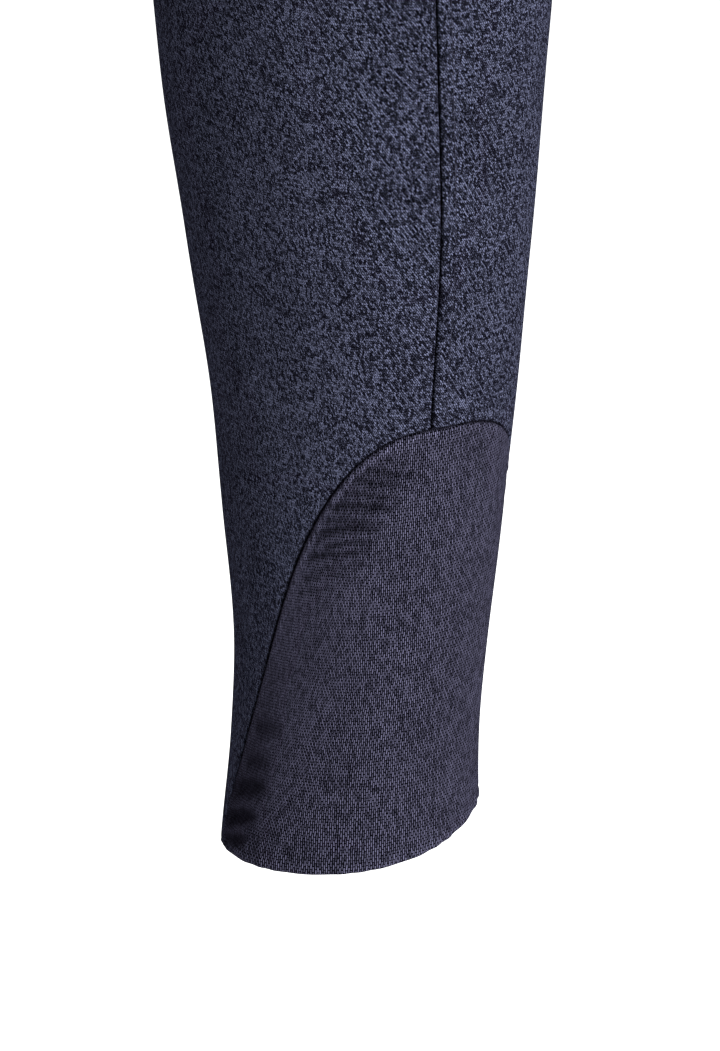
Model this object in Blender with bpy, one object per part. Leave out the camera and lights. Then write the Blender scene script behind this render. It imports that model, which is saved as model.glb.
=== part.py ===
"""Riding breeches, worn and empty, hanging as on a wearer who stands with the feet apart.

Each cut-and-sewn piece is one named object: two fronts, two backs, two stretch cuffs, the waistband,
the fly flap, the fly zip with its slider, and the waist button. The wearer faces -Y and the wearer's
left is +X. The origin is the centre of the waist opening, where the wearer holds the garment up.
Lengths are in metres.

The left half is worked out, and the right half is its mirror image. A place on it is an angle and a
height. The angle, in degrees, runs round the leg from straight ahead (0) by the outer side (90) and the
back (180) to the inner side (270, or -90). The height is measured up from LEVEL_Z, near the hems.
"""

import math
from typing import NamedTuple

import bmesh
import bpy
import numpy as np
from mathutils import Matrix, Vector

LEVEL_Z = -0.900
CROTCH_HEIGHT = 0.685
WAIST_HEIGHT = 0.900
WALL = 0.0015
BAND_WALL = 0.0030
SEAM_GAP = 0.0003
HALF_GAP = SEAM_GAP / 2
SLOPE_STEP = 0.01  # degrees, or a tenth of a millimetre, for slopes worked out by differences
SLOPE_LENGTH = 0.0001
HALVINGS = 60  # halvings that find where an edge meets the hem
FITTINGS = 8  # rounds that fit a panel's top edge to its columns' angles


class Section(NamedTuple):
    """The left half's outline at one height: an ellipse, with a depth of its own in front and behind."""

    height: float
    centre_x: float
    centre_y: float
    half_width: float
    front_depth: float
    back_depth: float


# Calf, knee and thigh, then from the crotch up, where the outline runs past x = 0 and stops there.
SECTIONS = (
    Section(-0.020, 0.1508, 0.0084, 0.0388, 0.0442, 0.0440),
    Section(0.000, 0.1502, 0.0096, 0.0384, 0.0434, 0.0434),
    Section(0.040, 0.1495, 0.0128, 0.0370, 0.0410, 0.0418),
    Section(0.065, 0.1490, 0.0155, 0.0378, 0.0410, 0.0426),
    Section(0.110, 0.1470, 0.0180, 0.0422, 0.0448, 0.0470),
    Section(0.150, 0.1447, 0.0200, 0.0460, 0.0482, 0.0515),
    Section(0.200, 0.1412, 0.0214, 0.0520, 0.0540, 0.0578),
    Section(0.250, 0.1373, 0.0226, 0.0573, 0.0596, 0.0638),
    Section(0.290, 0.1345, 0.0236, 0.0602, 0.0622, 0.0672),
    Section(0.335, 0.1308, 0.0222, 0.0598, 0.0620, 0.0650),
    Section(0.380, 0.1270, 0.0190, 0.0612, 0.0652, 0.0638),
    Section(0.450, 0.1198, 0.0140, 0.0652, 0.0710, 0.0690),
    Section(0.550, 0.1070, 0.0095, 0.0778, 0.0846, 0.0830),
    Section(0.630, 0.0962, 0.0080, 0.0868, 0.0925, 0.0935),
    Section(CROTCH_HEIGHT, 0.0905, 0.0085, 0.0905 - HALF_GAP, 0.0975, 0.1020),
    Section(0.725, 0.0785, 0.0100, 0.1005, 0.1020, 0.1100),
    Section(0.770, 0.0610, 0.0105, 0.1172, 0.1065, 0.1190),
    Section(0.820, 0.0375, 0.0080, 0.1318, 0.1085, 0.1175),
    Section(0.860, 0.0180, 0.0035, 0.1400, 0.1080, 0.1115),
    Section(WAIST_HEIGHT, 0.0040, 0.0000, 0.1345, 0.1085, 0.1085),
    Section(0.920, 0.0000, -0.0010, 0.1330, 0.1080, 0.1080),
)


ARCH_ANGLE = 75.0  # where the side seam meets the cuff's arch, at its peak


class SideSeam(NamedTuple):
    """Where the outer side seam crosses one height."""

    height: float
    angle: float


SIDE_SEAM = (
    SideSeam(-0.020, ARCH_ANGLE),
    SideSeam(0.150, ARCH_ANGLE),
    SideSeam(0.210, 76.5),
    SideSeam(0.290, 73.5),
    SideSeam(0.360, 74.0),
    SideSeam(0.500, 80.0),
    SideSeam(0.685, 87.0),
    SideSeam(0.920, 88.0),
)

# Above the crotch the cloth spans the middle. Each share says how far it lifts from the ellipse towards
# a straight span.
FRONT_SPAN = 0.60
BACK_SPAN = 0.30
SPAN_RISE = 0.070

# The cuff: its upper edge is a lopsided arch, which peaks at the side seam and meets the hem at both feet.
ARCH_PEAK = 0.1482
ARCH_FOOT = -0.0040
ARCH_FRONT_REACH = 128.5
ARCH_FRONT_POWER = 1.225
ARCH_BACK_REACH = 165.0
ARCH_BACK_POWER = 1.40

# The hem is a tilted ring with a slight wave.
HEM_MIDDLE = 0.0078
HEM_TILT = 0.0054
HEM_HIGH_ANGLE = 149.0
HEM_WAVE = 0.0019
HEM_WAVE_ANGLE = 164.0

# The waist: the top edge tips forward, and the band is one strip with its front ends overlapped.
WAIST_TILT = 0.0140
BAND_HEIGHT = 0.0400
BAND_OVERLAP = 0.045  # share of half the waist that each end runs past the centre front
BAND_FADE = 0.120  # share of half the waist at which the under end is back at the surface

# The fly: the fronts part at the zip, and the flap on the right front covers it.
FLAP_END_HEIGHT = 0.712
FLY_END_HEIGHT = 0.730
FLY_OPEN_HEIGHT = 0.746
FLY_SLIT = 0.0040
FLY_COLUMN_ANGLES = (0.0, 2.2, 4.6, 10.0, 16.0)
NEXT_COLUMN_ANGLE = 26.0
FLAP_WALL = 0.0012
FLAP_LIFT = 0.0006
FLAP_EASE = 0.0020  # how much further the flap lifts where its corner is rounded away
FLAP_ROUNDING = (0.45, 0.90)
ZIP_WALL = 0.0010
TAPE_GAP = 0.0006
CHAIN_SHARE = 0.65  # of the slit's width
CHAIN_FOOT = 1.25  # half the chain's width at its foot, as a share of that at its face
CHAIN_RAISE = 0.0008
CHAIN_START = 0.0200  # height over which the chain rises into the slit
SLIDER_WIDTH = 0.0066
SLIDER_HEIGHT = 0.0090
SLIDER_THICKNESS = 0.0008
SLIDER_DROP = 0.0030
PULL_WIDTH = 0.0036
PULL_LENGTH = 0.0150

# The button sits on the band's upper end, over its buttonhole.
BUTTON_SHARE = 0.022
BUTTON_RADIUS = 0.0080
BUTTON_THICKNESS = 0.0026
BUTTON_RIM = 0.00176
BUTTON_DISH = 0.0007
BUTTON_DISH_SLOPE = 0.00064
BUTTON_EDGE = 0.0004
BUTTON_HOLE_RADIUS = 0.0009
BUTTON_HOLE_SPACING = 0.0030

LOWER_ROWS = 16
UPPER_ROWS = 9
CROTCH_CROWDING = 1.6  # power by which the rows above the crotch draw together towards it
FRONT_ARCH_COLUMNS = 12
BACK_ARCH_COLUMNS = 13
BACK_STRIP_COLUMNS = 3
CUFF_ROWS = 4
BAND_COLUMNS = 44

TWILL_NAVY = (0.034, 0.036, 0.064)
STRETCH_NAVY = (0.036, 0.034, 0.058)
BAND_NAVY = (0.030, 0.032, 0.058)
ZIP_NAVY = (0.018, 0.019, 0.034)
SLIDER_GREY = (0.20, 0.20, 0.21)
BUTTON_NAVY = (0.020, 0.022, 0.040)


def clear_scene():
    """Removes the objects that the file opened with."""
    for item in list(bpy.data.objects):
        bpy.data.objects.remove(item, do_unlink=True)


def cloth_material(name, colour, roughness, metallic=0.0):
    """A Principled material of one plain colour."""
    material = bpy.data.materials.new(name)
    material.use_nodes = True
    shader = material.node_tree.nodes["Principled BSDF"]
    shader.inputs["Base Color"].default_value = (*colour, 1.0)
    shader.inputs["Roughness"].default_value = roughness
    shader.inputs["Metallic"].default_value = metallic
    material.diffuse_color = (*colour, 1.0)
    return material


def eased(share):
    """A share from 0 to 1, made to start and stop gently."""
    share = np.clip(share, 0.0, 1.0)
    return share * share * (3.0 - 2.0 * share)


def along_table(table, height):
    """The columns after the first of a table, read at these heights off a smooth curve through its rows."""
    rows = np.asarray(table, float)
    levels, values = rows[:, 0], rows[:, 1:]
    slopes = np.gradient(values, levels, axis=0)
    height = np.clip(np.asarray(height, float), levels[0], levels[-1])
    row = np.clip(np.searchsorted(levels, height, side="right") - 1, 0, len(levels) - 2)
    span = (levels[row + 1] - levels[row])[..., None]
    s = (height - levels[row])[..., None] / span
    start, end = values[row], values[row + 1]
    leave, arrive = slopes[row] * span, slopes[row + 1] * span
    bend = (2 * s**3 - 3 * s**2 + 1) * start + (3 * s**2 - 2 * s**3) * end
    return bend + (s**3 - 2 * s**2 + s) * leave + (s**3 - s**2) * arrive


def surface(angle, height):
    """The outer face of the left half at these angles and heights."""
    angle, height = np.broadcast_arrays(np.asarray(angle, float), np.asarray(height, float))
    centre_x, centre_y, width, front, back = np.moveaxis(along_table(SECTIONS, height), -1, 0)
    turn = np.radians(angle)
    x = centre_x + width * np.sin(turn)
    ahead = np.cos(turn) > 0
    share = np.abs(np.cos(turn))
    middle = np.sqrt(np.clip(1.0 - (centre_x / width) ** 2, 0.0, 1.0))
    spanned = middle + np.where(ahead, FRONT_SPAN, BACK_SPAN) * (1.0 - middle)
    across = spanned + (1.0 - spanned) * eased(x / np.maximum(centre_x, 1e-6))
    taut = eased((height - CROTCH_HEIGHT) / SPAN_RISE) * (np.sin(turn) < 0)
    share = share + taut * (across - share)
    y = centre_y + np.where(ahead, -front, back) * share
    return np.stack([x, y, height + LEVEL_Z], axis=-1)


def outward(angle, height):
    """The direction straight out of the cloth at these angles and heights."""
    angle, height = np.broadcast_arrays(np.asarray(angle, float), np.asarray(height, float))
    round_leg = surface(angle + SLOPE_STEP, height) - surface(angle - SLOPE_STEP, height)
    up_leg = surface(angle, height + SLOPE_LENGTH) - surface(angle, height - SLOPE_LENGTH)
    across = np.cross(round_leg, up_leg)
    return across / np.linalg.norm(across, axis=-1, keepdims=True)


def inner_angle(height, from_middle):
    """How far round inwards from straight ahead the cloth runs: to the inseam, or near x = 0."""
    centre_x, _, width, _, _ = np.moveaxis(along_table(SECTIONS, height), -1, 0)
    to_middle = np.degrees(np.arcsin(np.clip((centre_x - from_middle) / width, -1.0, 1.0)))
    return np.minimum(to_middle, 90.0 - np.degrees(HALF_GAP / width))


def side_angle(height):
    """The side seam's angle at these heights."""
    return along_table(SIDE_SEAM, height)[..., 0]


def half_gap_angle(height):
    """Half a seam's gap, as an angle at these heights."""
    return np.degrees(HALF_GAP / along_table(SECTIONS, height)[..., 2])


def slit(height):
    """How far a front's middle edge stands from x = 0."""
    opened = eased((height - FLY_END_HEIGHT) / (FLY_OPEN_HEIGHT - FLY_END_HEIGHT))
    return HALF_GAP + (FLY_SLIT - HALF_GAP) * opened


def hem_height(angle):
    """The hem's height at these angles."""
    tilt = HEM_TILT * np.cos(np.radians(angle - HEM_HIGH_ANGLE))
    return HEM_MIDDLE + tilt + HEM_WAVE * np.cos(2 * np.radians(angle - HEM_WAVE_ANGLE))


def arch_height(angle):
    """The height of the seam between leg and cuff at these angles."""
    angle = np.asarray(angle, float)
    ahead = angle < ARCH_ANGLE
    reach = np.where(ahead, ARCH_FRONT_REACH, ARCH_BACK_REACH)
    power = np.where(ahead, ARCH_FRONT_POWER, ARCH_BACK_POWER)
    share = np.clip(np.abs(angle - ARCH_ANGLE) / reach, 0.0, 1.0)
    return ARCH_FOOT + (ARCH_PEAK - ARCH_FOOT) * 0.5 * (1.0 + np.cos(np.pi * share**power))


def arch_edge(angle, side):
    """The height of an edge along the arch: side is 1 for the leg above it and -1 for the cuff below."""
    angle = np.asarray(angle, float)
    rise = arch_height(angle + SLOPE_STEP) - arch_height(angle - SLOPE_STEP)
    run = np.radians(2 * SLOPE_STEP) * along_table(SECTIONS, arch_height(angle))[..., 2]
    return arch_height(angle) + side * HALF_GAP * np.hypot(1.0, rise / run)


def arch_foot(low, high, side):
    """The angle between low and high where an edge of the arch meets the hem."""
    for _ in range(HALVINGS):
        middle = (low + high) / 2
        above_hem = arch_edge(middle, side) > hem_height(middle)
        above_at_low = arch_edge(low, side) > hem_height(low)
        low, high = (middle, high) if above_hem == above_at_low else (low, middle)
    return (low + high) / 2


def arch_stations():
    """The angles of the columns along the arch: front foot to side seam, then side seam to back foot."""
    front = arch_foot(ARCH_ANGLE - ARCH_FRONT_REACH, ARCH_ANGLE, 1)
    back = arch_foot(ARCH_ANGLE, ARCH_ANGLE + ARCH_BACK_REACH, 1)
    return (
        np.linspace(front, ARCH_ANGLE, FRONT_ARCH_COLUMNS + 1),
        np.linspace(ARCH_ANGLE, back, BACK_ARCH_COLUMNS + 1),
    )


def waist_edge(angle, below):
    """The height of a line this far below the waist's top edge."""
    return WAIST_HEIGHT - WAIST_TILT * np.cos(np.radians(angle)) - below


def panel_heights(lower_edge, upper_edge):
    """Rows of heights from a lower edge to an upper edge, closest just above the crotch's level."""
    lower = np.linspace(0.0, 1.0, LOWER_ROWS + 1)[:-1, None]
    upper = (np.arange(UPPER_ROWS + 1) / UPPER_ROWS)[:, None] ** CROTCH_CROWDING
    below = lower_edge + lower * (CROTCH_HEIGHT - lower_edge)
    above = CROTCH_HEIGHT + upper * (upper_edge - CROTCH_HEIGHT)
    return np.concatenate([below, above])


def fitted_top(angles_at, columns):
    """The height of a panel's top edge in each column, which depends on the column's own angle up there."""
    top = np.full(columns, WAIST_HEIGHT - BAND_HEIGHT)
    for _ in range(FITTINGS):
        top = waist_edge(angles_at(top), BAND_HEIGHT + HALF_GAP)
    return top


def front_grid():
    """Angles and heights of the left front's points, from its inner edge to the side seam."""
    arch, _ = arch_stations()
    start = -90.0 + float(half_gap_angle(0.0))
    near = np.array((*FLY_COLUMN_ANGLES, NEXT_COLUMN_ANGLE))
    far_start = start + near[-1]
    shares = (arch - far_start) / (ARCH_ANGLE - far_start)
    columns = np.concatenate([start + near, arch])

    def angles_at(heights):
        inner = -inner_angle(heights, slit(heights))
        outer = side_angle(heights) - half_gap_angle(heights)
        beside = inner[..., : len(near)] + near
        from_here = inner[..., len(near) :] + near[-1]
        beyond = from_here + shares * (outer[..., len(near) :] - from_here)
        return np.concatenate([beside, beyond], axis=-1)

    lower_edge = np.where(columns < arch[0], hem_height(columns), arch_edge(columns, 1))
    lower_edge[len(near)] = hem_height(arch[0])
    heights = panel_heights(lower_edge, fitted_top(angles_at, len(columns)))
    return angles_at(heights), heights


def back_grid():
    """Angles and heights of the left back's points, from the side seam to its inner edge."""
    _, arch = arch_stations()
    end = 270.0 - float(half_gap_angle(0.0))
    strip = np.linspace(arch[-1], end, BACK_STRIP_COLUMNS + 1)[1:]
    columns = np.concatenate([arch, strip])
    shares = (columns - ARCH_ANGLE) / (end - ARCH_ANGLE)

    def angles_at(heights):
        inner = 180.0 + inner_angle(heights, HALF_GAP)
        outer = side_angle(heights) + half_gap_angle(heights)
        return outer + shares * (inner - outer)

    lower_edge = np.where(columns > arch[-1], hem_height(columns), arch_edge(columns, 1))
    lower_edge[len(arch) - 1] = hem_height(arch[-1])
    heights = panel_heights(lower_edge, fitted_top(angles_at, len(columns)))
    return angles_at(heights), heights


def cuff_grid():
    """Angles and heights of the left cuff's points, from front foot to back foot, where its rows meet."""
    front, back = arch_stations()
    angles = np.concatenate([front, back[1:]])
    angles[0] = arch_foot(ARCH_ANGLE - ARCH_FRONT_REACH, ARCH_ANGLE, -1)
    angles[-1] = arch_foot(ARCH_ANGLE, ARCH_ANGLE + ARCH_BACK_REACH, -1)
    upper_edge = arch_edge(angles, -1)
    lower_edge = hem_height(angles)
    upper_edge[[0, -1]] = lower_edge[[0, -1]]
    rows = np.linspace(0.0, 1.0, CUFF_ROWS + 1)[:, None]
    heights = lower_edge + rows * (upper_edge - lower_edge)
    return np.broadcast_to(angles, heights.shape), heights


def mirrored(points):
    """Points or directions of the right half, from the left half's."""
    return points * np.array([-1.0, 1.0, 1.0])


def solid_between(name, outer, inner, material, flip=False):
    """One closed body between two grids of points, each an array of rows by columns.

    Args:
        name: the object's name.
        outer: the points of the face that looks out.
        inner: the points of the face that looks in.
        material: the object's material.
        flip: true where the grid is mirrored, so that faces still look out.
    """
    rows, columns = outer.shape[:2]
    points = np.concatenate([outer.reshape(-1, 3), inner.reshape(-1, 3)])
    inside = rows * columns

    def at(row, column, layer):
        return layer * inside + row * columns + column

    faces = []
    for row in range(rows - 1):
        for column in range(columns - 1):
            a, b = (row, column), (row, column + 1)
            c, d = (row + 1, column + 1), (row + 1, column)
            rising = np.linalg.norm(outer[a] - outer[c]) < np.linalg.norm(outer[b] - outer[d])
            for corners in ((a, b, c), (a, c, d)) if rising else ((a, b, d), (b, c, d)):
                faces.append([at(*corner, 0) for corner in corners])
                faces.append([at(*corner, 1) for corner in reversed(corners)])
    rim = [(0, c) for c in range(columns)]
    rim += [(r, columns - 1) for r in range(1, rows)]
    rim += [(rows - 1, c) for c in range(columns - 2, -1, -1)]
    rim += [(r, 0) for r in range(rows - 2, 0, -1)]
    for (r, c), (r_next, c_next) in zip(rim, rim[1:] + rim[:1]):
        faces.append([at(r_next, c_next, 0), at(r, c, 0), at(r, c, 1), at(r_next, c_next, 1)])
    if flip:
        faces = [face[::-1] for face in faces]
    mesh = bpy.data.meshes.new(name)
    mesh.from_pydata(points.tolist(), [], faces)
    work = bmesh.new()
    work.from_mesh(mesh)
    bmesh.ops.remove_doubles(work, verts=work.verts, dist=1e-7)
    bmesh.ops.triangulate(work, faces=work.faces)
    work.to_mesh(mesh)
    work.free()
    mesh.shade_smooth()
    mesh.set_sharp_from_angle(angle=math.radians(50))
    mesh.materials.append(material)
    item = bpy.data.objects.new(name, mesh)
    bpy.context.scene.collection.objects.link(item)
    return item


def add_panels(twill, stretch):
    """The fronts, the backs and the cuffs, left and right."""
    for piece, grid, material in (
        ("front", front_grid(), twill),
        ("back", back_grid(), twill),
        ("cuff", cuff_grid(), stretch),
    ):
        outer = surface(*grid)
        inner = outer - WALL * outward(*grid)
        solid_between(f"{piece}_left", outer, inner, material)
        solid_between(f"{piece}_right", mirrored(outer), mirrored(inner), material, flip=True)


def waist_point(share, below):
    """A point of the waist's outer face and the direction out of it.

    Args:
        share: 0 at the centre front, 1 at the centre back by the left side, 2 at the centre front again.
        below: distance below the top edge.
    """
    within = 2.0 - share if share > 1.0 else share
    edge = inner_angle(WAIST_HEIGHT - below, 0.0)
    angle = -edge + abs(within) * (180.0 + 2.0 * edge)
    height = waist_edge(angle, below)
    point, direction = surface(angle, height), outward(angle, height)
    on_right = within < 0.0 if share < 1.0 else within > 0.0
    return (mirrored(point), mirrored(direction)) if on_right else (point, direction)


def add_waistband(material):
    """The band, whose left end runs on under its right end at the front."""
    shares = np.linspace(-BAND_OVERLAP, 2.0 + BAND_OVERLAP, BAND_COLUMNS + 1)
    outer, inner = [], []
    for below in (BAND_HEIGHT - HALF_GAP, BAND_HEIGHT / 2, 0.0):
        row = [waist_point(share, below) for share in shares]
        points = np.array([point for point, _ in row])
        directions = np.array([direction for _, direction in row])
        tuck = eased((BAND_FADE - shares) / (BAND_FADE - BAND_OVERLAP)) * (BAND_WALL + SEAM_GAP)
        points = points - directions * tuck[:, None]
        outer.append(points)
        inner.append(points - directions * BAND_WALL)
    solid_between("waistband", np.array(outer), np.array(inner), material)


def fly_rows():
    """The left front's points beside the fly, with directions out that have no sideways part at the edge."""
    angles, heights = front_grid()
    rows = heights[:, 0] > FLAP_END_HEIGHT
    columns = slice(0, len(FLY_COLUMN_ANGLES))
    angles, heights = angles[rows, columns], heights[rows, columns]
    points, directions = surface(angles, heights), outward(angles, heights)
    directions[:, 0, 0] = 0.0
    directions[:, 0] /= np.linalg.norm(directions[:, 0], axis=-1, keepdims=True)
    return points, directions


def add_fly_flap(material):
    """The flap on the right front, from its rounded outer edge to just past the zip on the left front."""
    points, directions = fly_rows()
    columns = np.arange(points.shape[1])
    lift = np.full(len(points), FLAP_LIFT)
    for row, share in enumerate(FLAP_ROUNDING):
        lift[row] += FLAP_EASE * (1.0 - share)
        places = np.where(columns > 2, 2 + share * (columns - 2), columns)
        for grid in (points, directions):
            grid[row] = np.stack([np.interp(places, columns, line) for line in grid[row].T], axis=-1)
    base = np.concatenate([mirrored(points[:, ::-1]), points[:, :2]], axis=1)
    out = np.concatenate([mirrored(directions[:, ::-1]), directions[:, :2]], axis=1)
    inner = base + lift[:, None, None] * out
    solid_between("fly_flap", inner + FLAP_WALL * out, inner, material)


def add_fly_zip(material):
    """The closed zip behind the fronts: two tapes and, in the slit between the fronts, the raised chain."""
    points, directions = fly_rows()
    middle = (mirrored(points[:, 0]) + points[:, 0]) / 2
    middle_out = (mirrored(directions[:, 0]) + directions[:, 0]) / 2
    half_chain = CHAIN_SHARE * (points[:, 0] - middle)
    flat = np.zeros(len(points))
    base, out, lift = [], [], []
    for column in (2, 0):
        base.append(mirrored(points[:, column]))
        out.append(mirrored(directions[:, column]))
        lift.append(flat)
    chain = CHAIN_RAISE * eased((points[:, 0, 2] - LEVEL_Z - FLY_OPEN_HEIGHT) / CHAIN_START)
    foot = CHAIN_FOOT
    for offset, raised in ((-foot, flat), (-1.0, chain), (1.0, chain), (foot, flat)):
        base.append(middle + offset * half_chain)
        out.append(middle_out)
        lift.append(raised)
    for column in (0, 2):
        base.append(points[:, column])
        out.append(directions[:, column])
        lift.append(flat)
    base, out, lift = (np.stack(columns, axis=1)[1:] for columns in (base, out, lift))
    tape = base - (WALL + TAPE_GAP) * out
    solid_between("fly_zip", tape + lift[..., None] * out, tape - ZIP_WALL * out, material)


def framed(name, origin, across, out, material):
    """A new object with an empty mesh, its X across the body and its Z straight out of the cloth."""
    mesh = bpy.data.meshes.new(name)
    mesh.materials.append(material)
    item = bpy.data.objects.new(name, mesh)
    bpy.context.scene.collection.objects.link(item)
    out = Vector(out).normalized()
    along = out.cross(Vector(across)).normalized()
    turned = Matrix((along.cross(out), along, out)).transposed().to_4x4()
    item.matrix_world = Matrix.Translation(origin) @ turned
    return item


def add_zip_slider(material):
    """The slider at the zip's top, with its pull lying flat below it on the chain, behind the flap."""
    points, directions = fly_rows()
    middle = (mirrored(points[:, 0]) + points[:, 0]) / 2
    out = (mirrored(directions[-1, 0]) + directions[-1, 0]) / 2
    drop = SLIDER_DROP / np.linalg.norm(middle[-2] - middle[-1])
    depth = WALL + TAPE_GAP - CHAIN_RAISE - SEAM_GAP
    origin = middle[-1] + drop * (middle[-2] - middle[-1]) - depth * out
    item = framed("zip_slider", origin, (1.0, 0.0, 0.0), out, material)
    half, pull = SLIDER_WIDTH / 2, PULL_WIDTH / 2
    end = -SLIDER_HEIGHT - PULL_LENGTH
    outline = [(-half, 0.0), (-half, -SLIDER_HEIGHT), (-pull, -SLIDER_HEIGHT), (-pull, end)]
    outline += [(-x, y) for x, y in reversed(outline)]
    work = bmesh.new()
    base = work.faces.new([work.verts.new((x, y, 0.0)) for x, y in outline])
    grown = bmesh.ops.extrude_face_region(work, geom=[base])
    raised = [part for part in grown["geom"] if isinstance(part, bmesh.types.BMVert)]
    bmesh.ops.translate(work, verts=raised, vec=(0.0, 0.0, SLIDER_THICKNESS))
    bmesh.ops.recalc_face_normals(work, faces=work.faces)
    work.to_mesh(item.data)
    work.free()


def add_button(material):
    """The waist button: a dished disc with four holes, on the outer face of the band's upper end."""
    point, out = waist_point(2.0 + BUTTON_SHARE, BAND_HEIGHT / 2)
    origin = point + (SEAM_GAP + BUTTON_THICKNESS / 2) * out
    item = framed("waist_button", origin, (1.0, 0.0, 0.0), out, material)
    work = bmesh.new()
    round_button = {"segments": 32, "radius1": BUTTON_RADIUS, "radius2": BUTTON_RADIUS}
    bmesh.ops.create_cone(work, cap_ends=True, depth=BUTTON_THICKNESS, **round_button)
    top = max(work.faces, key=lambda face: face.calc_center_median().z)
    bmesh.ops.inset_region(work, faces=[top], thickness=BUTTON_RIM, depth=0.0)
    bmesh.ops.inset_region(work, faces=[top], thickness=BUTTON_DISH_SLOPE, depth=-BUTTON_DISH)
    work.to_mesh(item.data)
    work.free()
    edge = item.modifiers.new("edge", "BEVEL")
    edge.width = BUTTON_EDGE
    edge.segments = 2
    edge.limit_method = "ANGLE"
    for along, up in ((-1, -1), (-1, 1), (1, -1), (1, 1)):
        hole = framed(f"hole_{along}_{up}", origin, (1.0, 0.0, 0.0), out, material)
        work = bmesh.new()
        round_hole = {"segments": 12, "radius1": BUTTON_HOLE_RADIUS, "radius2": BUTTON_HOLE_RADIUS}
        bmesh.ops.create_cone(work, cap_ends=True, depth=4 * BUTTON_THICKNESS, **round_hole)
        offset = (along * BUTTON_HOLE_SPACING / 2, up * BUTTON_HOLE_SPACING / 2, 0.0)
        bmesh.ops.translate(work, verts=work.verts, vec=offset)
        work.to_mesh(hole.data)
        work.free()
        hole.hide_render = True
        hole.display_type = "WIRE"
        cut = item.modifiers.new(hole.name, "BOOLEAN")
        cut.operation = "DIFFERENCE"
        cut.object = hole


def main():
    """Builds the breeches."""
    clear_scene()
    twill = cloth_material("twill", TWILL_NAVY, 0.85)
    stretch = cloth_material("stretch_knit", STRETCH_NAVY, 0.85)
    band = cloth_material("band_twill", BAND_NAVY, 0.85)
    tape = cloth_material("zip_tape", ZIP_NAVY, 0.7)
    metal = cloth_material("slider_metal", SLIDER_GREY, 0.35, metallic=1.0)
    resin = cloth_material("button_resin", BUTTON_NAVY, 0.4)
    add_panels(twill, stretch)
    add_waistband(band)
    add_fly_flap(band)
    add_fly_zip(tape)
    add_zip_slider(metal)
    add_button(resin)


if __name__ == "__main__":
    main()
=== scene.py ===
"""Navy riding breeches, worn and empty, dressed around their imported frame.

The wearer faces -Y, and the wearer's left is +X. Lengths are metres unless a name says millimetres. A place
on the cloth is an angle and a height. The angle, in degrees, runs round the leg from straight ahead (0) by
the outer side (90) and the back (180) to the inner side (270, or -90). The height is measured up from near
the hems. The left half is worked out, and the right half mirrors it.
"""

import logging
import math
from dataclasses import dataclass, replace
from enum import Enum
from typing import Iterable, NamedTuple

import bmesh
import bpy
import numpy as np
from mathutils import Matrix, Vector


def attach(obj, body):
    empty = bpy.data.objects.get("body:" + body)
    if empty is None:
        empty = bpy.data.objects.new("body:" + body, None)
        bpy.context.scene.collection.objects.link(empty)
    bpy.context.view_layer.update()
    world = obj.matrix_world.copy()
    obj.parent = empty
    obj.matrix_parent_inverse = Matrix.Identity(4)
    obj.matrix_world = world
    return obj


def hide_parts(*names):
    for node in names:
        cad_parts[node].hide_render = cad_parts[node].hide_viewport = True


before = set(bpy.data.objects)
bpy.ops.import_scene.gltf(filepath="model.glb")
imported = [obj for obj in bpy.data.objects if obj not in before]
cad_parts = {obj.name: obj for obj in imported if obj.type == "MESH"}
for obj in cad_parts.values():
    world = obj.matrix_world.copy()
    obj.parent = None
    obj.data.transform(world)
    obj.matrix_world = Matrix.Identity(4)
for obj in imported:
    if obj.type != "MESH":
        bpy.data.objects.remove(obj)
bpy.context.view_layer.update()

MM = 0.001
BODY = "root"
WEAVE_MAP = "weave"  # UV map in millimetres along and across the grain
PAINTED_SHADE_ATTRIBUTE = "seam"  # painted shade and highlight: 1 where shade is painted in the bottom of a seam, 0 on open cloth, below 0 where a highlight is painted on a lump
BRICK_SCALE = 0.25  # brick units to a millimetre, small because a gap between bricks is at most 0.125 units
LOG = logging.getLogger("breeches")


class Side(Enum):
    """Which half of the garment a piece is on; the value is the sign of its X."""

    LEFT = 1.0
    RIGHT = -1.0


class Section(NamedTuple):
    """The left half's outline at one height: an ellipse with a depth of its own in front and behind."""

    height: float
    centre_x: float
    centre_y: float
    half_width: float
    front_depth: float
    back_depth: float


class SideSeam(NamedTuple):
    """Where the outer side seam crosses one height."""

    height: float
    angle: float


class Crease(NamedTuple):
    """A soft trough (depth below 0) or ridge between two places. All but the angles are millimetres."""

    start_angle: float
    start_height: float
    end_angle: float
    end_height: float
    bow: float
    half_width: float
    depth: float


SEAM_GAP = 0.0003
HALF_GAP = SEAM_GAP / 2
CROTCH_HEIGHT = 0.685
WAIST_HEIGHT = 0.900
ARCH_ANGLE = 75.0  # where the side seam meets the cuff's arch, at its peak
HALF_WAIST = 0.405  # length of the band from the centre front to the centre back
HALVINGS = 60  # that find where an edge of the arch meets the hem
FITTINGS = 8  # rounds that fit a top edge to its columns' angles
BODY_SEED, CUFF_SEED = 7, 11  # of the right leg's own unevenness

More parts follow.
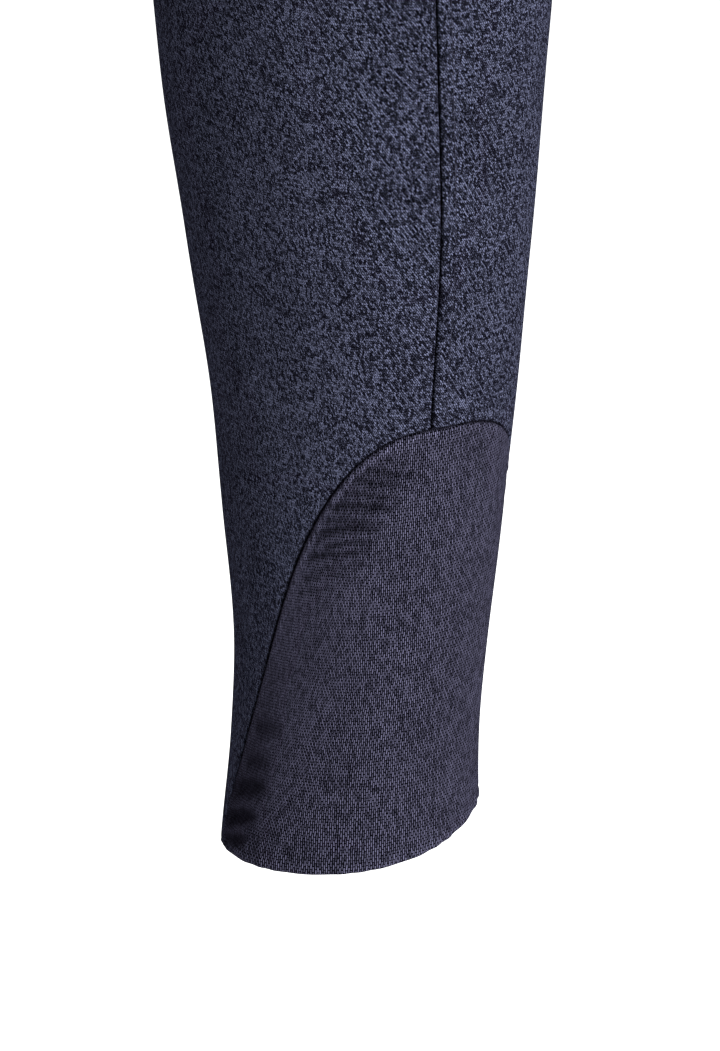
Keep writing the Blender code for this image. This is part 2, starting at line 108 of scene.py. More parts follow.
# Calf, knee and thigh, then from the crotch up, where the outline runs past x = 0 and stops there.
SECTIONS = (
    Section(-0.020, 0.1508, 0.0084, 0.0388, 0.0442, 0.0440),
    Section(0.000, 0.1502, 0.0096, 0.0384, 0.0434, 0.0434),
    Section(0.040, 0.1495, 0.0128, 0.0370, 0.0410, 0.0418),
    Section(0.065, 0.1490, 0.0155, 0.0378, 0.0410, 0.0426),
    Section(0.110, 0.1470, 0.0180, 0.0422, 0.0448, 0.0470),
    Section(0.150, 0.1447, 0.0200, 0.0460, 0.0482, 0.0515),
    Section(0.200, 0.1412, 0.0214, 0.0520, 0.0540, 0.0578),
    Section(0.250, 0.1373, 0.0226, 0.0573, 0.0596, 0.0638),
    Section(0.290, 0.1345, 0.0236, 0.0602, 0.0622, 0.0672),
    Section(0.335, 0.1308, 0.0222, 0.0598, 0.0620, 0.0650),
    Section(0.380, 0.1270, 0.0190, 0.0612, 0.0652, 0.0638),
    Section(0.450, 0.1198, 0.0140, 0.0652, 0.0710, 0.0690),
    Section(0.550, 0.1070, 0.0095, 0.0778, 0.0846, 0.0830),
    Section(0.630, 0.0962, 0.0080, 0.0868, 0.0925, 0.0935),
    Section(CROTCH_HEIGHT, 0.0905, 0.0085, 0.0905 - HALF_GAP, 0.0975, 0.1020),
    Section(0.725, 0.0785, 0.0100, 0.1005, 0.1020, 0.1100),
    Section(0.770, 0.0610, 0.0105, 0.1172, 0.1065, 0.1190),
    Section(0.820, 0.0375, 0.0080, 0.1318, 0.1085, 0.1175),
    Section(0.860, 0.0180, 0.0035, 0.1400, 0.1080, 0.1115),
    Section(WAIST_HEIGHT, 0.0040, 0.0000, 0.1345, 0.1085, 0.1085),
    Section(0.920, 0.0000, -0.0010, 0.1330, 0.1080, 0.1080),
)

SIDE_SEAM = (
    SideSeam(-0.020, ARCH_ANGLE),
    SideSeam(0.150, ARCH_ANGLE),
    SideSeam(0.210, 76.5),
    SideSeam(0.290, 73.5),
    SideSeam(0.360, 74.0),
    SideSeam(0.500, 80.0),
    SideSeam(0.685, 87.0),
    SideSeam(0.920, 88.0),
)

# Puckers of the knit below the front of the arch, where the stretched cuff was eased into the seam.
CUFF_PUCKERS = (
    Crease(52, 140.8, 70, 137.4, 0.0, 0.9, -0.95),
    Crease(47, 137.4, 72, 132.6, 0.3, 1.0, -1.30),
    Crease(42, 134.0, 68, 129.4, 0.5, 1.1, -1.50),
    Crease(38, 129.8, 67, 126.0, 0.3, 0.9, -1.25),
    Crease(31, 124.2, 66, 122.6, 1.6, 1.2, -1.85),
    Crease(28, 119.6, 58, 119.4, 0.8, 0.9, -0.95),
    Crease(24, 113.8, 60, 116.8, 2.4, 1.2, -1.80),
    Crease(30, 110.4, 58, 112.6, 1.6, 0.9, -1.20),
    Crease(22, 107.0, 56, 109.6, 1.0, 1.0, -1.10),
    Crease(29, 103.6, 56, 106.4, 0.6, 0.8, -0.75),
    Crease(20, 100.0, 50, 103.2, 0.8, 0.8, -0.60),
    Crease(18, 95.0, 42, 98.0, 0.6, 0.9, -0.40),
)

# The same behind, milder and further apart.
CUFF_BACK_PUCKERS = (
    Crease(138, 128.6, 118, 126.4, 0.4, 1.1, -0.45),
    Crease(142, 124.4, 122, 122.4, 0.8, 1.0, -0.60),
    Crease(147, 118.6, 126, 117.6, 1.2, 1.2, -0.75),
    Crease(152, 112.6, 132, 112.8, 0.6, 1.0, -0.55),
    Crease(158, 105.2, 136, 106.6, 1.4, 1.3, -0.70),
    Crease(164, 96.2, 144, 98.2, 0.8, 1.1, -0.50),
)

# Soft folds near the two feet of the arch, where the seam draws the cuff in above the hem.
CUFF_FOLDS = (
    Crease(-30, 6.0, -2, 13.0, 0.0, 1.87, -1.73),
    Crease(-31, 13.0, 4, 21.0, 0.6, 2.21, -2.47),
    Crease(-27, 23.2, 10, 31.5, 0.6, 2.55, -2.09),
    Crease(-13, 35.6, 9, 38.6, 0.0, 2.89, -0.99),
    Crease(-8, 47.6, 14, 50.2, 0.0, 3.06, -0.85),
    Crease(236, 8.6, 206, 14.0, 0.0, 2.04, -1.48),
    Crease(237, 16.4, 196, 24.0, 0.8, 2.38, -2.22),
    Crease(231, 27.0, 190, 33.6, 0.4, 2.72, -1.73),
    Crease(216, 41.0, 186, 44.0, 0.0, 3.06, -0.99),
)

# Folds of the worn leg and seat, on the sides away from the smooth outer calf.
BODY_FOLDS = (
    Crease(138, 402, 226, 396, -7.0, 6.5, -2.85),
    Crease(150, 421, 238, 424, -5.0, 5.5, -3.45),
    Crease(132, 438, 214, 446, -6.0, 7.0, -2.25),
    Crease(168, 456, 246, 462, -4.0, 6.0, -1.80),
    Crease(-92, 386, -38, 402, 3.0, 6.0, -1.50),
    Crease(-98, 432, -30, 418, 2.0, 7.0, -1.80),
    Crease(-84, 690, -34, 716, -4.0, 6.0, -2.40),
    Crease(-86, 668, -22, 684, -5.0, 7.0, -2.85),
    Crease(-88, 640, -36, 650, -3.0, 6.5, -1.65),
    Crease(-46, 748, 34, 726, -6.0, 8.0, -1.65),
    Crease(262, 668, 202, 650, -5.0, 7.5, -3.00),
    Crease(258, 640, 214, 628, -3.0, 6.5, -1.95),
    Crease(264, 694, 222, 702, -4.0, 7.0, -2.10),
    Crease(98, 612, 160, 640, 5.0, 9.0, -1.35),
    Crease(226, 150, 262, 158, 0.0, 5.0, -0.90),
    Crease(214, 176, 258, 170, 0.0, 5.5, -0.75),
)


def eased(share: np.ndarray) -> np.ndarray:
    """A share from 0 to 1, made to start and stop gently."""
    share = np.clip(share, 0.0, 1.0)
    return share * share * (3.0 - 2.0 * share)


def along_table(table: tuple, height: np.ndarray) -> np.ndarray:
    """Reads a table off a smooth curve through its rows.

    Args:
        table: rows of numbers, of which the first column is the height.
        height: the heights to read at.

    Returns:
        The other columns, along a new last axis.
    """
    rows = np.asarray(table, float)
    levels, values = rows[:, 0], rows[:, 1:]
    slopes = np.gradient(values, levels, axis=0)
    height = np.clip(np.asarray(height, float), levels[0], levels[-1])
    row = np.clip(np.searchsorted(levels, height, side="right") - 1, 0, len(levels) - 2)
    span = (levels[row + 1] - levels[row])[..., None]
    s = (height - levels[row])[..., None] / span
    start, end = values[row], values[row + 1]
    leave, arrive = slopes[row] * span, slopes[row + 1] * span
    bend = (2 * s**3 - 3 * s**2 + 1) * start + (3 * s**2 - 2 * s**3) * end
    return bend + (s**3 - 2 * s**2 + s) * leave + (s**3 - s**2) * arrive


@dataclass(frozen=True)
class WornForm:
    """The shape that the worn cloth keeps: the same outline, seams and edges as the frame's own solids.

    Attributes:
        level_z: where heights start.
        front_span, back_span: how tautly the cloth bridges the hollow at x = 0, from 0 to 1.
        span_rise: the height above the crotch over which it grows taut.
        arch_peak, arch_foot: the heights of the arch's peak and of its two feet.
        arch_front_reach, arch_back_reach: degrees from the peak to each foot.
        arch_front_power, arch_back_power: how full the arch is on each side; 1 is a plain cosine.
        arch_samples: places at which the arch's length is measured.
        hem_middle, hem_tilt, hem_high_angle: the hem's mean height, its tilt and where it is highest.
        hem_wave, hem_wave_angle: its second wave, twice round the leg.
        waist_tilt: how far the waist dips in front and rises behind.
        band_height: of the waistband.
        fly_end_height, fly_open_height: where the fronts start to part, and where they stand full apart.
        fly_slit: how far each front then stands from x = 0.
        slope_step, slope_length: the angle and the height by which slopes are worked out.
        crease_start, crease_end: the shares of a crease's length over which it grows and fades.
    """

    level_z: float = -0.900
    front_span: float = 0.60
    back_span: float = 0.30
    span_rise: float = 0.070
    arch_peak: float = 0.1482
    arch_foot: float = -0.0040
    arch_front_reach: float = 128.5
    arch_front_power: float = 1.225
    arch_back_reach: float = 165.0
    arch_back_power: float = 1.40
    arch_samples: int = 721
    hem_middle: float = 0.0078
    hem_tilt: float = 0.0054
    hem_high_angle: float = 149.0
    hem_wave: float = 0.0019
    hem_wave_angle: float = 164.0
    waist_tilt: float = 0.0140
    band_height: float = 0.0400
    fly_end_height: float = 0.730
    fly_open_height: float = 0.746
    fly_slit: float = 0.0040
    slope_step: float = 0.01
    slope_length: float = 0.0001
    crease_start: float = 0.12
    crease_end: float = 0.40

    def surface(self, angle: np.ndarray, height: np.ndarray) -> np.ndarray:
        """The smooth outer face, without any crease, as points."""
        angle, height = np.broadcast_arrays(np.asarray(angle, float), np.asarray(height, float))
        centre_x, centre_y, width, front, back = np.moveaxis(along_table(SECTIONS, height), -1, 0)
        turn = np.radians(angle)
        x = centre_x + width * np.sin(turn)
        ahead = np.cos(turn) > 0
        share = np.abs(np.cos(turn))
        middle = np.sqrt(np.clip(1.0 - (centre_x / width) ** 2, 0.0, 1.0))
        spanned = middle + np.where(ahead, self.front_span, self.back_span) * (1.0 - middle)
        across = spanned + (1.0 - spanned) * eased(x / np.maximum(centre_x, 1e-6))
        taut = eased((height - CROTCH_HEIGHT) / self.span_rise) * (np.sin(turn) < 0)
        share = share + taut * (across - share)
        y = centre_y + np.where(ahead, -front, back) * share
        return np.stack([x, y, height + self.level_z], axis=-1)

    def outward(self, angle: np.ndarray, height: np.ndarray) -> np.ndarray:
        """The directions straight out of the smooth face."""
        angle, height = np.broadcast_arrays(np.asarray(angle, float), np.asarray(height, float))
        step, length = self.slope_step, self.slope_length
        round_leg = self.surface(angle + step, height) - self.surface(angle - step, height)
        up_leg = self.surface(angle, height + length) - self.surface(angle, height - length)
        across = np.cross(round_leg, up_leg)
        return across / np.linalg.norm(across, axis=-1, keepdims=True)

    def width(self, height: np.ndarray) -> np.ndarray:
        """Half the leg's width at these heights."""
        return along_table(SECTIONS, height)[..., 2]

    def inner_angle(self, height: np.ndarray, from_middle: np.ndarray) -> np.ndarray:
        """How far round inwards from straight ahead the cloth runs: to the inseam, or near x = 0."""
        centre_x, _, width, _, _ = np.moveaxis(along_table(SECTIONS, height), -1, 0)
        to_middle = np.degrees(np.arcsin(np.clip((centre_x - from_middle) / width, -1.0, 1.0)))
        return np.minimum(to_middle, 90.0 - np.degrees(HALF_GAP / width))

    def slit(self, height: np.ndarray) -> np.ndarray:
        """How far a front's middle edge stands from x = 0."""
        rise = self.fly_open_height - self.fly_end_height
        return HALF_GAP + (self.fly_slit - HALF_GAP) * eased((height - self.fly_end_height) / rise)

    def side_angle(self, height: np.ndarray) -> np.ndarray:
        """The side seam's angle."""
        return along_table(SIDE_SEAM, height)[..., 0]

    def gap_angle(self, height: np.ndarray) -> np.ndarray:
        """Half a seam's gap, as an angle."""
        return np.degrees(HALF_GAP / self.width(height))

    def hem_height(self, angle: np.ndarray) -> np.ndarray:
        """The hem's height round the leg."""
        tilt = self.hem_tilt * np.cos(np.radians(angle - self.hem_high_angle))
        return self.hem_middle + tilt + self.hem_wave * np.cos(2 * np.radians(angle - self.hem_wave_angle))

    def arch_height(self, angle: np.ndarray) -> np.ndarray:
        """The height of the seam between leg and cuff."""
        angle = np.asarray(angle, float)
        ahead = angle < ARCH_ANGLE
        reach = np.where(ahead, self.arch_front_reach, self.arch_back_reach)
        power = np.where(ahead, self.arch_front_power, self.arch_back_power)
        share = np.clip(np.abs(angle - ARCH_ANGLE) / reach, 0.0, 1.0)
        rise = self.arch_peak - self.arch_foot
        return self.arch_foot + rise * 0.5 * (1.0 + np.cos(np.pi * share**power))

    def arch_slant(self, angle: np.ndarray) -> np.ndarray:
        """How many times longer a gap along the arch is upwards than square to it."""
        step = self.slope_step
        rise = self.arch_height(angle + step) - self.arch_height(angle - step)
        run = np.radians(2 * step) * self.width(self.arch_height(angle))
        return np.hypot(1.0, rise / run)

    def arch_edge(self, angle: np.ndarray, side: int) -> np.ndarray:
        """The height of an edge along the arch: side is 1 for the leg above it and -1 for the cuff below."""
        angle = np.asarray(angle, float)
        return self.arch_height(angle) + side * HALF_GAP * self.arch_slant(angle)

    def arch_end(self, low: float, high: float, side: int) -> float:
        """The angle between low and high where an edge of the arch meets the hem."""
        for _ in range(HALVINGS):
            middle = (low + high) / 2
            above_hem = self.arch_edge(middle, side) > self.hem_height(middle)
            above_at_low = self.arch_edge(low, side) > self.hem_height(low)
            low, high = (middle, high) if above_hem == above_at_low else (low, middle)
        return (low + high) / 2

    def arch_ends(self, side: int) -> tuple[float, float]:
        """The angles of the arch's front and back feet."""
        front = self.arch_end(ARCH_ANGLE - self.arch_front_reach, ARCH_ANGLE, side)
        return front, self.arch_end(ARCH_ANGLE, ARCH_ANGLE + self.arch_back_reach, side)

    def arch_stations(self, start: float, end: float, spacing: float) -> np.ndarray:
        """Angles of columns evenly spaced along the seam, its steep stretches too."""
        angles = np.linspace(start, end, self.arch_samples)
        line = self.surface(angles, self.arch_height(angles))
        reach = np.concatenate([[0.0], np.cumsum(np.linalg.norm(np.diff(line, axis=0), axis=-1))])
        count = max(2, round(reach[-1] / spacing))
        return np.interp(np.linspace(0.0, reach[-1], count + 1), reach, angles)

    def waist_edge(self, angle: np.ndarray, below: float) -> np.ndarray:
        """The height of a line this far below the waist's top edge."""
        return WAIST_HEIGHT - self.waist_tilt * np.cos(np.radians(angle)) - below

    def panel_top(self, angle: np.ndarray) -> np.ndarray:
        """The height of the panels' top edge, under the waistband."""
        return self.waist_edge(angle, self.band_height + HALF_GAP)

    def relief(self, angle: np.ndarray, height: np.ndarray, creases: Iterable[Crease]) -> np.ndarray:
        """How far creases lift the cloth.

        Args:
            angle: angles round the leg.
            height: heights, in metres.
            creases: the troughs and ridges.

        Returns:
            The lift out of the smooth face at each place, in metres.
        """
        lift = np.zeros(np.broadcast(angle, height).shape)
        for crease in creases:
            mean_height = (crease.start_height + crease.end_height) / 2 * MM
            per_degree = math.radians(1.0) * float(self.width(mean_height))
            turn = (angle - crease.start_angle + 180.0) % 360.0 - 180.0
            across, up = turn * per_degree, height - crease.start_height * MM
            run = (crease.end_angle - crease.start_angle) * per_degree
            rise = (crease.end_height - crease.start_height) * MM
            length = math.hypot(run, rise)
            along = (across * run + up * rise) / length**2
            bowed = crease.bow * MM * 4.0 * along * (1.0 - along) * math.copysign(1.0, run)
            off = (up * run - across * rise) / length - bowed
            fade = eased(along / self.crease_start) * eased((1.0 - along) / self.crease_end)
            lift += crease.depth * MM * fade * np.exp(-((off / (crease.half_width * MM)) ** 2))
        return lift


FORM = WornForm()


def varied(creases: tuple[Crease, ...], seed: int) -> tuple[Crease, ...]:
    """The same creases, each moved by up to 2 degrees, lengthened by up to 18% and deepened by up to 30%."""
    rng = np.random.default_rng(seed)
    others = []
    for crease in creases:
        shift, drop, stretch, deepen = rng.uniform(-1.0, 1.0, 4)
        spread = 1.4 * crease.half_width
        run = (crease.end_angle - crease.start_angle) * (1.0 + 0.18 * stretch)
        others.append(
            crease._replace(
                start_angle=crease.start_angle + 2.0 * shift,
                end_angle=crease.start_angle + 2.0 * shift + run,
                start_height=crease.start_height + spread * drop,
                end_height=crease.end_height + spread * drop,
                depth=crease.depth * (1.0 + 0.3 * deepen),
            )
        )
    return tuple(others)


def creases_on(side: Side, creases: tuple[Crease, ...], seed: int) -> tuple[Crease, ...]:
    """A leg's creases: as charted on the left leg, and varied from this seed on the right."""
    return creases if side is Side.LEFT else varied(creases, seed)


def undulation(angle: np.ndarray, height: np.ndarray, side: Side) -> np.ndarray:
    """The unevenness of the whole cloth: crossing waves 0.35 and 0.16 mm high, in metres."""
    turn, phase = np.radians(angle), 0.7 * side.value
    slow = np.sin(3 * turn + 21.0 * height + phase) * np.sin(17.0 * height - 2 * turn + 1.1)
    quick = np.sin(5 * turn - 47.0 * height + 2 * phase) * np.sin(61.0 * height + 4 * turn)
    return (0.35 * slow + 0.16 * quick) * MM


def mirrored(points: np.ndarray, side: Side) -> np.ndarray:
    """Points or directions of this half, from the left half's."""
    return points * np.array([side.value, 1.0, 1.0])


def crowded(length: float, spacing: float, start: tuple[float, ...], end: tuple[float, ...]) -> np.ndarray:
    """Shares of a length from 0 to 1, evenly spaced but for closer steps at its two ends.

    Args:
        length: the length, in metres.
        spacing: the spacing away from the ends.
        start: distances of the close steps from the start, in millimetres.
        end: distances of the close steps from the end, in millimetres.

    Returns:
        The shares, in order.
    """
    first = np.array(start) * MM / length
    last = 1.0 - np.array(end)[::-1] * MM / length
    count = max(2, round((last[0] - first[-1]) * length / spacing))
    return np.concatenate([first, np.linspace(first[-1], last[0], count + 1)[1:-1], last])


def rolled(distance: np.ndarray, depth: float, reach: float) -> np.ndarray:
    """How far cloth dips within reach of an edge, most at the edge itself."""
    return depth * np.clip(1.0 - distance / reach, 0.0, 1.0) ** 2


def row_lengths(points: np.ndarray) -> np.ndarray:
    """The distance along each row of a grid from its first column."""
    steps = np.linalg.norm(np.diff(points, axis=1), axis=-1)
    return np.concatenate([np.zeros((len(points), 1)), np.cumsum(steps, axis=1)], axis=1)


class FlatCut(NamedTuple):
    """The flat size of a piece of cloth before it is sewn, in metres and square metres."""

    width: float
    length: float
    area: float


def cut_of(points: np.ndarray) -> FlatCut:
    """The flat size of a grid of points: its longest row, its longest column and its area."""
    diagonals = points[1:, 1:] - points[:-1, :-1], points[1:, :-1] - points[:-1, 1:]
    area = 0.5 * np.linalg.norm(np.cross(*diagonals), axis=-1).sum()
    width = row_lengths(points)[:, -1].max()
    length = row_lengths(points.transpose(1, 0, 2))[:, -1].max()
    return FlatCut(float(width), float(max(length, area / width)), float(area))


def new_object(name: str, mesh: bpy.types.Mesh, material: bpy.types.Material) -> bpy.types.Object:
    """An object of this mesh and material, in the scene, at the origin."""
    mesh.materials.clear()
    mesh.materials.append(material)
    item = bpy.data.objects.new(name, mesh)
    bpy.context.scene.collection.objects.link(item)
    return item


def quad_mesh(name: str, points: np.ndarray, quads: np.ndarray) -> bpy.types.Mesh:
    """A mesh of four-sided faces.

    Args:
        name: the mesh's name.
        points: an array of corners, in metres.
        quads: an array of faces, each four indices into points.

    Returns:
        The mesh.
    """
    mesh = bpy.data.meshes.new(name)
    mesh.vertices.add(len(points))
    mesh.vertices.foreach_set("co", points.astype(np.float32).ravel())
    mesh.loops.add(quads.size)
    mesh.loops.foreach_set("vertex_index", quads.astype(np.int32).ravel())
    mesh.polygons.add(len(quads))
    mesh.polygons.foreach_set("loop_start", np.arange(0, quads.size, 4, dtype=np.int32))
    mesh.update(calc_edges=True)
    return mesh


def cloth_sheet(
    name: str,
    outer: np.ndarray,
    inner: np.ndarray,
    flat: np.ndarray,
    seam: np.ndarray,
    material: bpy.types.Material,
    flip: bool = False,
) -> bpy.types.Object:
    """A closed shell between two grids of points.

    Args:
        name: the piece's name.
        outer: rows by columns of points on the face that looks out.
        inner: the same on the face that looks in.
        flat: rows by columns of places on the flat cloth, in millimetres.
        seam: rows by columns of the painted shade, which darkens seams, edges and fold bottoms, and where
            below 0 paints a highlight.
        material: the cloth.
        flip: true where the grid is mirrored, so that faces still look out.

    Returns:
        The piece.
    """
    rows, columns = outer.shape[:2]
    count = rows * columns
    at = np.arange(count).reshape(rows, columns)
    face = np.stack([at[:-1, :-1], at[:-1, 1:], at[1:, 1:], at[1:, :-1]], axis=-1).reshape(-1, 4)
    rim = np.concatenate([at[0], at[1:, -1], at[-1, -2::-1], at[-2:0:-1, 0]])
    onward = np.roll(rim, -1)
    edge = np.stack([onward, rim, rim + count, onward + count], axis=-1)
    quads = np.concatenate([face, face[:, ::-1] + count, edge])
    if flip:
        quads = quads[:, ::-1]
    points = np.concatenate([outer.reshape(-1, 3), inner.reshape(-1, 3)])
    mesh = quad_mesh(name, points, quads)
    weave = mesh.uv_layers.new(name=WEAVE_MAP)
    weave.uv.foreach_set("vector", flat.reshape(-1, 2)[quads.ravel() % count].astype(np.float32).ravel())
    mark = mesh.attributes.new(PAINTED_SHADE_ATTRIBUTE, "FLOAT", "POINT")
    mark.data.foreach_set("value", np.tile(seam.ravel(), 2).astype(np.float32))
    work = bmesh.new()
    work.from_mesh(mesh)
    bmesh.ops.remove_doubles(work, verts=work.verts, dist=1e-7)
    work.to_mesh(mesh)
    work.free()
    mesh.shade_smooth()
    mesh.set_sharp_from_angle(angle=math.radians(62))
    return new_object(name, mesh, material)


def declare_sheet(
    piece: bpy.types.Object,
    node: str,
    cut: FlatCut,
) -> None:
    """Parents a piece of cloth to the body, hides the solid that it stands for and logs its size."""
    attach(piece, BODY)
    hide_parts(node)
    flat = cut.width, cut.length
    LOG.info("%s: %d faces, cut %.3f x %.3f m", piece.name, len(piece.data.polygons), *flat)


def linear(colour: str) -> tuple[float, float, float, float]:
    """A hex sRGB colour as the linear values that a shader takes."""
    parts = [int(colour[i : i + 2], 16) / 255 for i in (1, 3, 5)]
    red, green, blue = (p / 12.92 if p <= 0.04045 else ((p + 0.055) / 1.055) ** 2.4 for p in parts)
    return red, green, blue, 1.0


def add_node(
    tree: bpy.types.NodeTree,
    kind: str,
    settings: dict[str | int, object] | None = None,
    links: dict[str | int, bpy.types.NodeSocket] | None = None,
) -> bpy.types.Node:
    """Adds a node.

    Args:
        tree: the material's node tree.
        kind: the node's type.
        settings: values by the name of a property, or by the name or number of an input socket.
        links: source sockets by the name or number of the input they feed.

    Returns:
        The node.
    """
    node = tree.nodes.new(kind)
    settings = settings or {}
    properties = [name for name in settings if isinstance(name, str) and name in node.bl_rna.properties]
    for name in properties:
        setattr(node, name, settings[name])
    for name in settings.keys() - set(properties):
        node.inputs[name].default_value = settings[name]
    for name, source in (links or {}).items():
        tree.links.new(source, node.inputs[name])
    return node


def ramp(
    tree: bpy.types.NodeTree, factor: bpy.types.NodeSocket, stops: dict[float, str]
) -> bpy.types.NodeSocket:
    """The colour output of a ramp with a hex colour at each position."""
    node = add_node(tree, "ShaderNodeValToRGB", links={"Fac": factor})
    node.color_ramp.elements.remove(node.color_ramp.elements[-1])
    places = sorted(stops)
    node.color_ramp.elements[0].position = places[0]
    for place in places[1:]:
        node.color_ramp.elements.new(place)
    for element, place in zip(node.color_ramp.elements, places):
        element.color = linear(stops[place])
    return node.outputs["Color"]


def fresh_material(name: str, colour: str) -> tuple[bpy.types.Material, bpy.types.NodeTree, bpy.types.Node]:
    """A new material with its node tree and its Principled shader."""
    material = bpy.data.materials.new(name)
    material.use_nodes = True
    material.diffuse_color = linear(colour)
    return material, material.node_tree, material.node_tree.nodes["Principled BSDF"]


@dataclass(frozen=True)
class ThreadWork:
    """Cloth seen close: rows of short stitches or floats of thread, each a little lighter or darker.

    Attributes:
        name: what the cloth is.
        row_mm: the spacing of the rows of threads.
        float_mm: how long a thread shows before it dives.
        turn_degrees: the slope of the rows from the grain.
        stagger: how far each row's threads are moved along, as a share of their length.
        gap_share: the share of a row's spacing over which a crown rounds off, on each side.
        fleck_mm: the size of the grains that mottle the threads.
        fleck_share: how much of the pattern is flecks, the rest being threads.
        evenness: how light the darkest threads' crowns are, as a share of the lightest ones'.
        hollow, ground, crown: the colours between the threads, of the cloth and of the threads' crowns.
        relief_mm: how far the threads stand out.
        roughness: of the fibre.
        sheen: how much the fuzz of fibres lights up at a slant.
        sheen_tint: the fuzz's colour.
        wander_mm, wander_rows: how long the threads' slow waves are, and how many rows' spacing high.
        cloud_mm: the size of the faint cloudiness of the dye.
        painted_seam_shade: how strongly the painted shade attribute darkens the colour in seams and folds,
            and lightens it where the attribute is below 0.
    """

    name: str
    row_mm: float
    float_mm: float
    turn_degrees: float
    stagger: float
    gap_share: float
    fleck_mm: float
    fleck_share: float
    evenness: float
    hollow: str
    ground: str
    crown: str
    relief_mm: float
    roughness: float
    sheen: float
    sheen_tint: str
    wander_mm: float = 4.0
    wander_rows: float = 0.9
    cloud_mm: float = 28.57
    painted_seam_shade: float = 0.92

    def material(self) -> bpy.types.Material:
        """The cloth as a material."""
        material, tree, shader = fresh_material(self.name, self.ground)
        weave = add_node(tree, "ShaderNodeUVMap", {"uv_map": WEAVE_MAP}).outputs["UV"]
        turn = {"Rotation": (0.0, 0.0, math.radians(self.turn_degrees))}
        turned = add_node(tree, "ShaderNodeMapping", turn, {"Vector": weave}).outputs["Vector"]
        slow = {"noise_dimensions": "2D", "Scale": 1.0 / self.wander_mm, "Detail": 1.0}
        wander = add_node(tree, "ShaderNodeTexNoise", slow, {"Vector": weave}).outputs["Color"]
        by_rows = {"operation": "SCALE", "Scale": self.wander_rows * self.row_mm}
        offset = add_node(tree, "ShaderNodeVectorMath", by_rows, {0: wander}).outputs["Vector"]
        added = {0: turned, 1: offset}
        moved = add_node(tree, "ShaderNodeVectorMath", {"operation": "ADD"}, added).outputs["Vector"]
        rows = {
            "offset": self.stagger,
            "offset_frequency": 2,
            "squash": 1.0,
            "Color1": (self.evenness, self.evenness, self.evenness, 1.0),
            "Color2": (1.0, 1.0, 1.0, 1.0),
            "Mortar": (0.0, 0.0, 0.0, 1.0),
            "Scale": BRICK_SCALE,
            "Mortar Size": BRICK_SCALE * self.gap_share * self.row_mm,
            "Mortar Smooth": 1.0,
            "Brick Width": BRICK_SCALE * self.float_mm,
            "Row Height": BRICK_SCALE * self.row_mm,
        }
        threads = add_node(tree, "ShaderNodeTexBrick", rows, {"Vector": moved}).outputs["Color"]
        grains = {"noise_dimensions": "2D", "Scale": 1.0 / self.fleck_mm, "Detail": 2.0, "Roughness": 0.7}
        flecks = add_node(tree, "ShaderNodeTexNoise", grains, {"Vector": weave}).outputs["Fac"]
        widen = {"From Min": 0.30, "From Max": 0.70, "To Min": 0.0, "To Max": 1.0}
        spread = add_node(tree, "ShaderNodeMapRange", widen, {"Value": flecks}).outputs["Result"]
        share = {"data_type": "FLOAT", "Factor": self.fleck_share}
        pattern = add_node(tree, "ShaderNodeMix", share, {"A": threads, "B": spread}).outputs["Result"]
        colour = ramp(tree, pattern, {0.20: self.hollow, 0.50: self.ground, 0.82: self.crown})
        clouds = {"noise_dimensions": "2D", "Scale": 1.0 / self.cloud_mm, "Detail": 2.0}
        cloudy = add_node(tree, "ShaderNodeTexNoise", clouds, {"Vector": weave}).outputs["Fac"]
        tenth = {"From Min": 0.25, "From Max": 0.75, "To Min": 0.90, "To Max": 1.10}
        worn = add_node(tree, "ShaderNodeMapRange", tenth, {"Value": cloudy}).outputs["Result"]
        # Painted shade and highlight: the attribute darkens the colour in seams, at edges and in fold
        # bottoms, and lightens it on the cuff's gathers and hem band.
        seam = add_node(tree, "ShaderNodeAttribute", {"attribute_name": PAINTED_SHADE_ATTRIBUTE}).outputs["Fac"]
        darken = {"operation": "MULTIPLY_ADD", 1: -self.painted_seam_shade, 2: 1.0}
        lit = add_node(tree, "ShaderNodeMath", darken, {0: seam}).outputs["Value"]
        product = add_node(tree, "ShaderNodeMath", {"operation": "MULTIPLY"}, {0: lit, 1: worn})
        shade = product.outputs["Value"]
        dimmed = {0: colour, "Scale": shade}
        shaded = add_node(tree, "ShaderNodeVectorMath", {"operation": "SCALE"}, dimmed).outputs["Vector"]
        depth = {"Strength": 1.0, "Distance": self.relief_mm * MM}
        bump = add_node(tree, "ShaderNodeBump", depth, {"Height": pattern}).outputs["Normal"]
        tree.links.new(shaded, shader.inputs["Base Color"])
        tree.links.new(bump, shader.inputs["Normal"])
        shader.inputs["Roughness"].default_value = self.roughness
        shader.inputs["Specular IOR Level"].default_value = 0.0
        shader.inputs["Sheen Weight"].default_value = self.sheen
        shader.inputs["Sheen Roughness"].default_value = 0.5
        shader.inputs["Sheen Tint"].default_value = linear(self.sheen_tint)
        return material


# Nylon and elastane stretch twill, piece-dyed navy: matt, with dark hollows between short slanting floats.
# Its rows, 0.3 mm apart on the cloth, are drawn twice as coarse, so that they show.
STRETCH_TWILL = ThreadWork(
    name="stretch_twill_nylon",
    row_mm=0.60,
    float_mm=1.10,
    turn_degrees=52.0,
    stagger=0.37,
    gap_share=0.26,
    fleck_mm=0.36,
    fleck_share=0.50,
    evenness=0.20,
    hollow="#000001",
    ground="#0a0a10",
    crown="#474a5d",
    relief_mm=0.10,
    roughness=0.85,
    sheen=0.012,
    sheen_tint="#9086b4",
)

# Ribbed elastane knit of the cuff: fine wales up the leg, each broken into stitches about 2 mm long. It looks
# finer and more purple than the twill. Its wales, 0.4 mm apart on the cloth, are drawn coarser, to show.
RIB_KNIT = ThreadWork(
    name="rib_knit_elastane",
    row_mm=0.70,
    float_mm=1.90,
    turn_degrees=90.0,
    stagger=0.50,
    gap_share=0.42,
    fleck_mm=0.50,
    fleck_share=0.24,
    evenness=0.66,
    hollow="#000001",
    ground="#08080c",
    crown="#3c3b4b",
    relief_mm=0.12,
    roughness=0.85,
    sheen=0.012,
    sheen_tint="#9a8eb4",
)

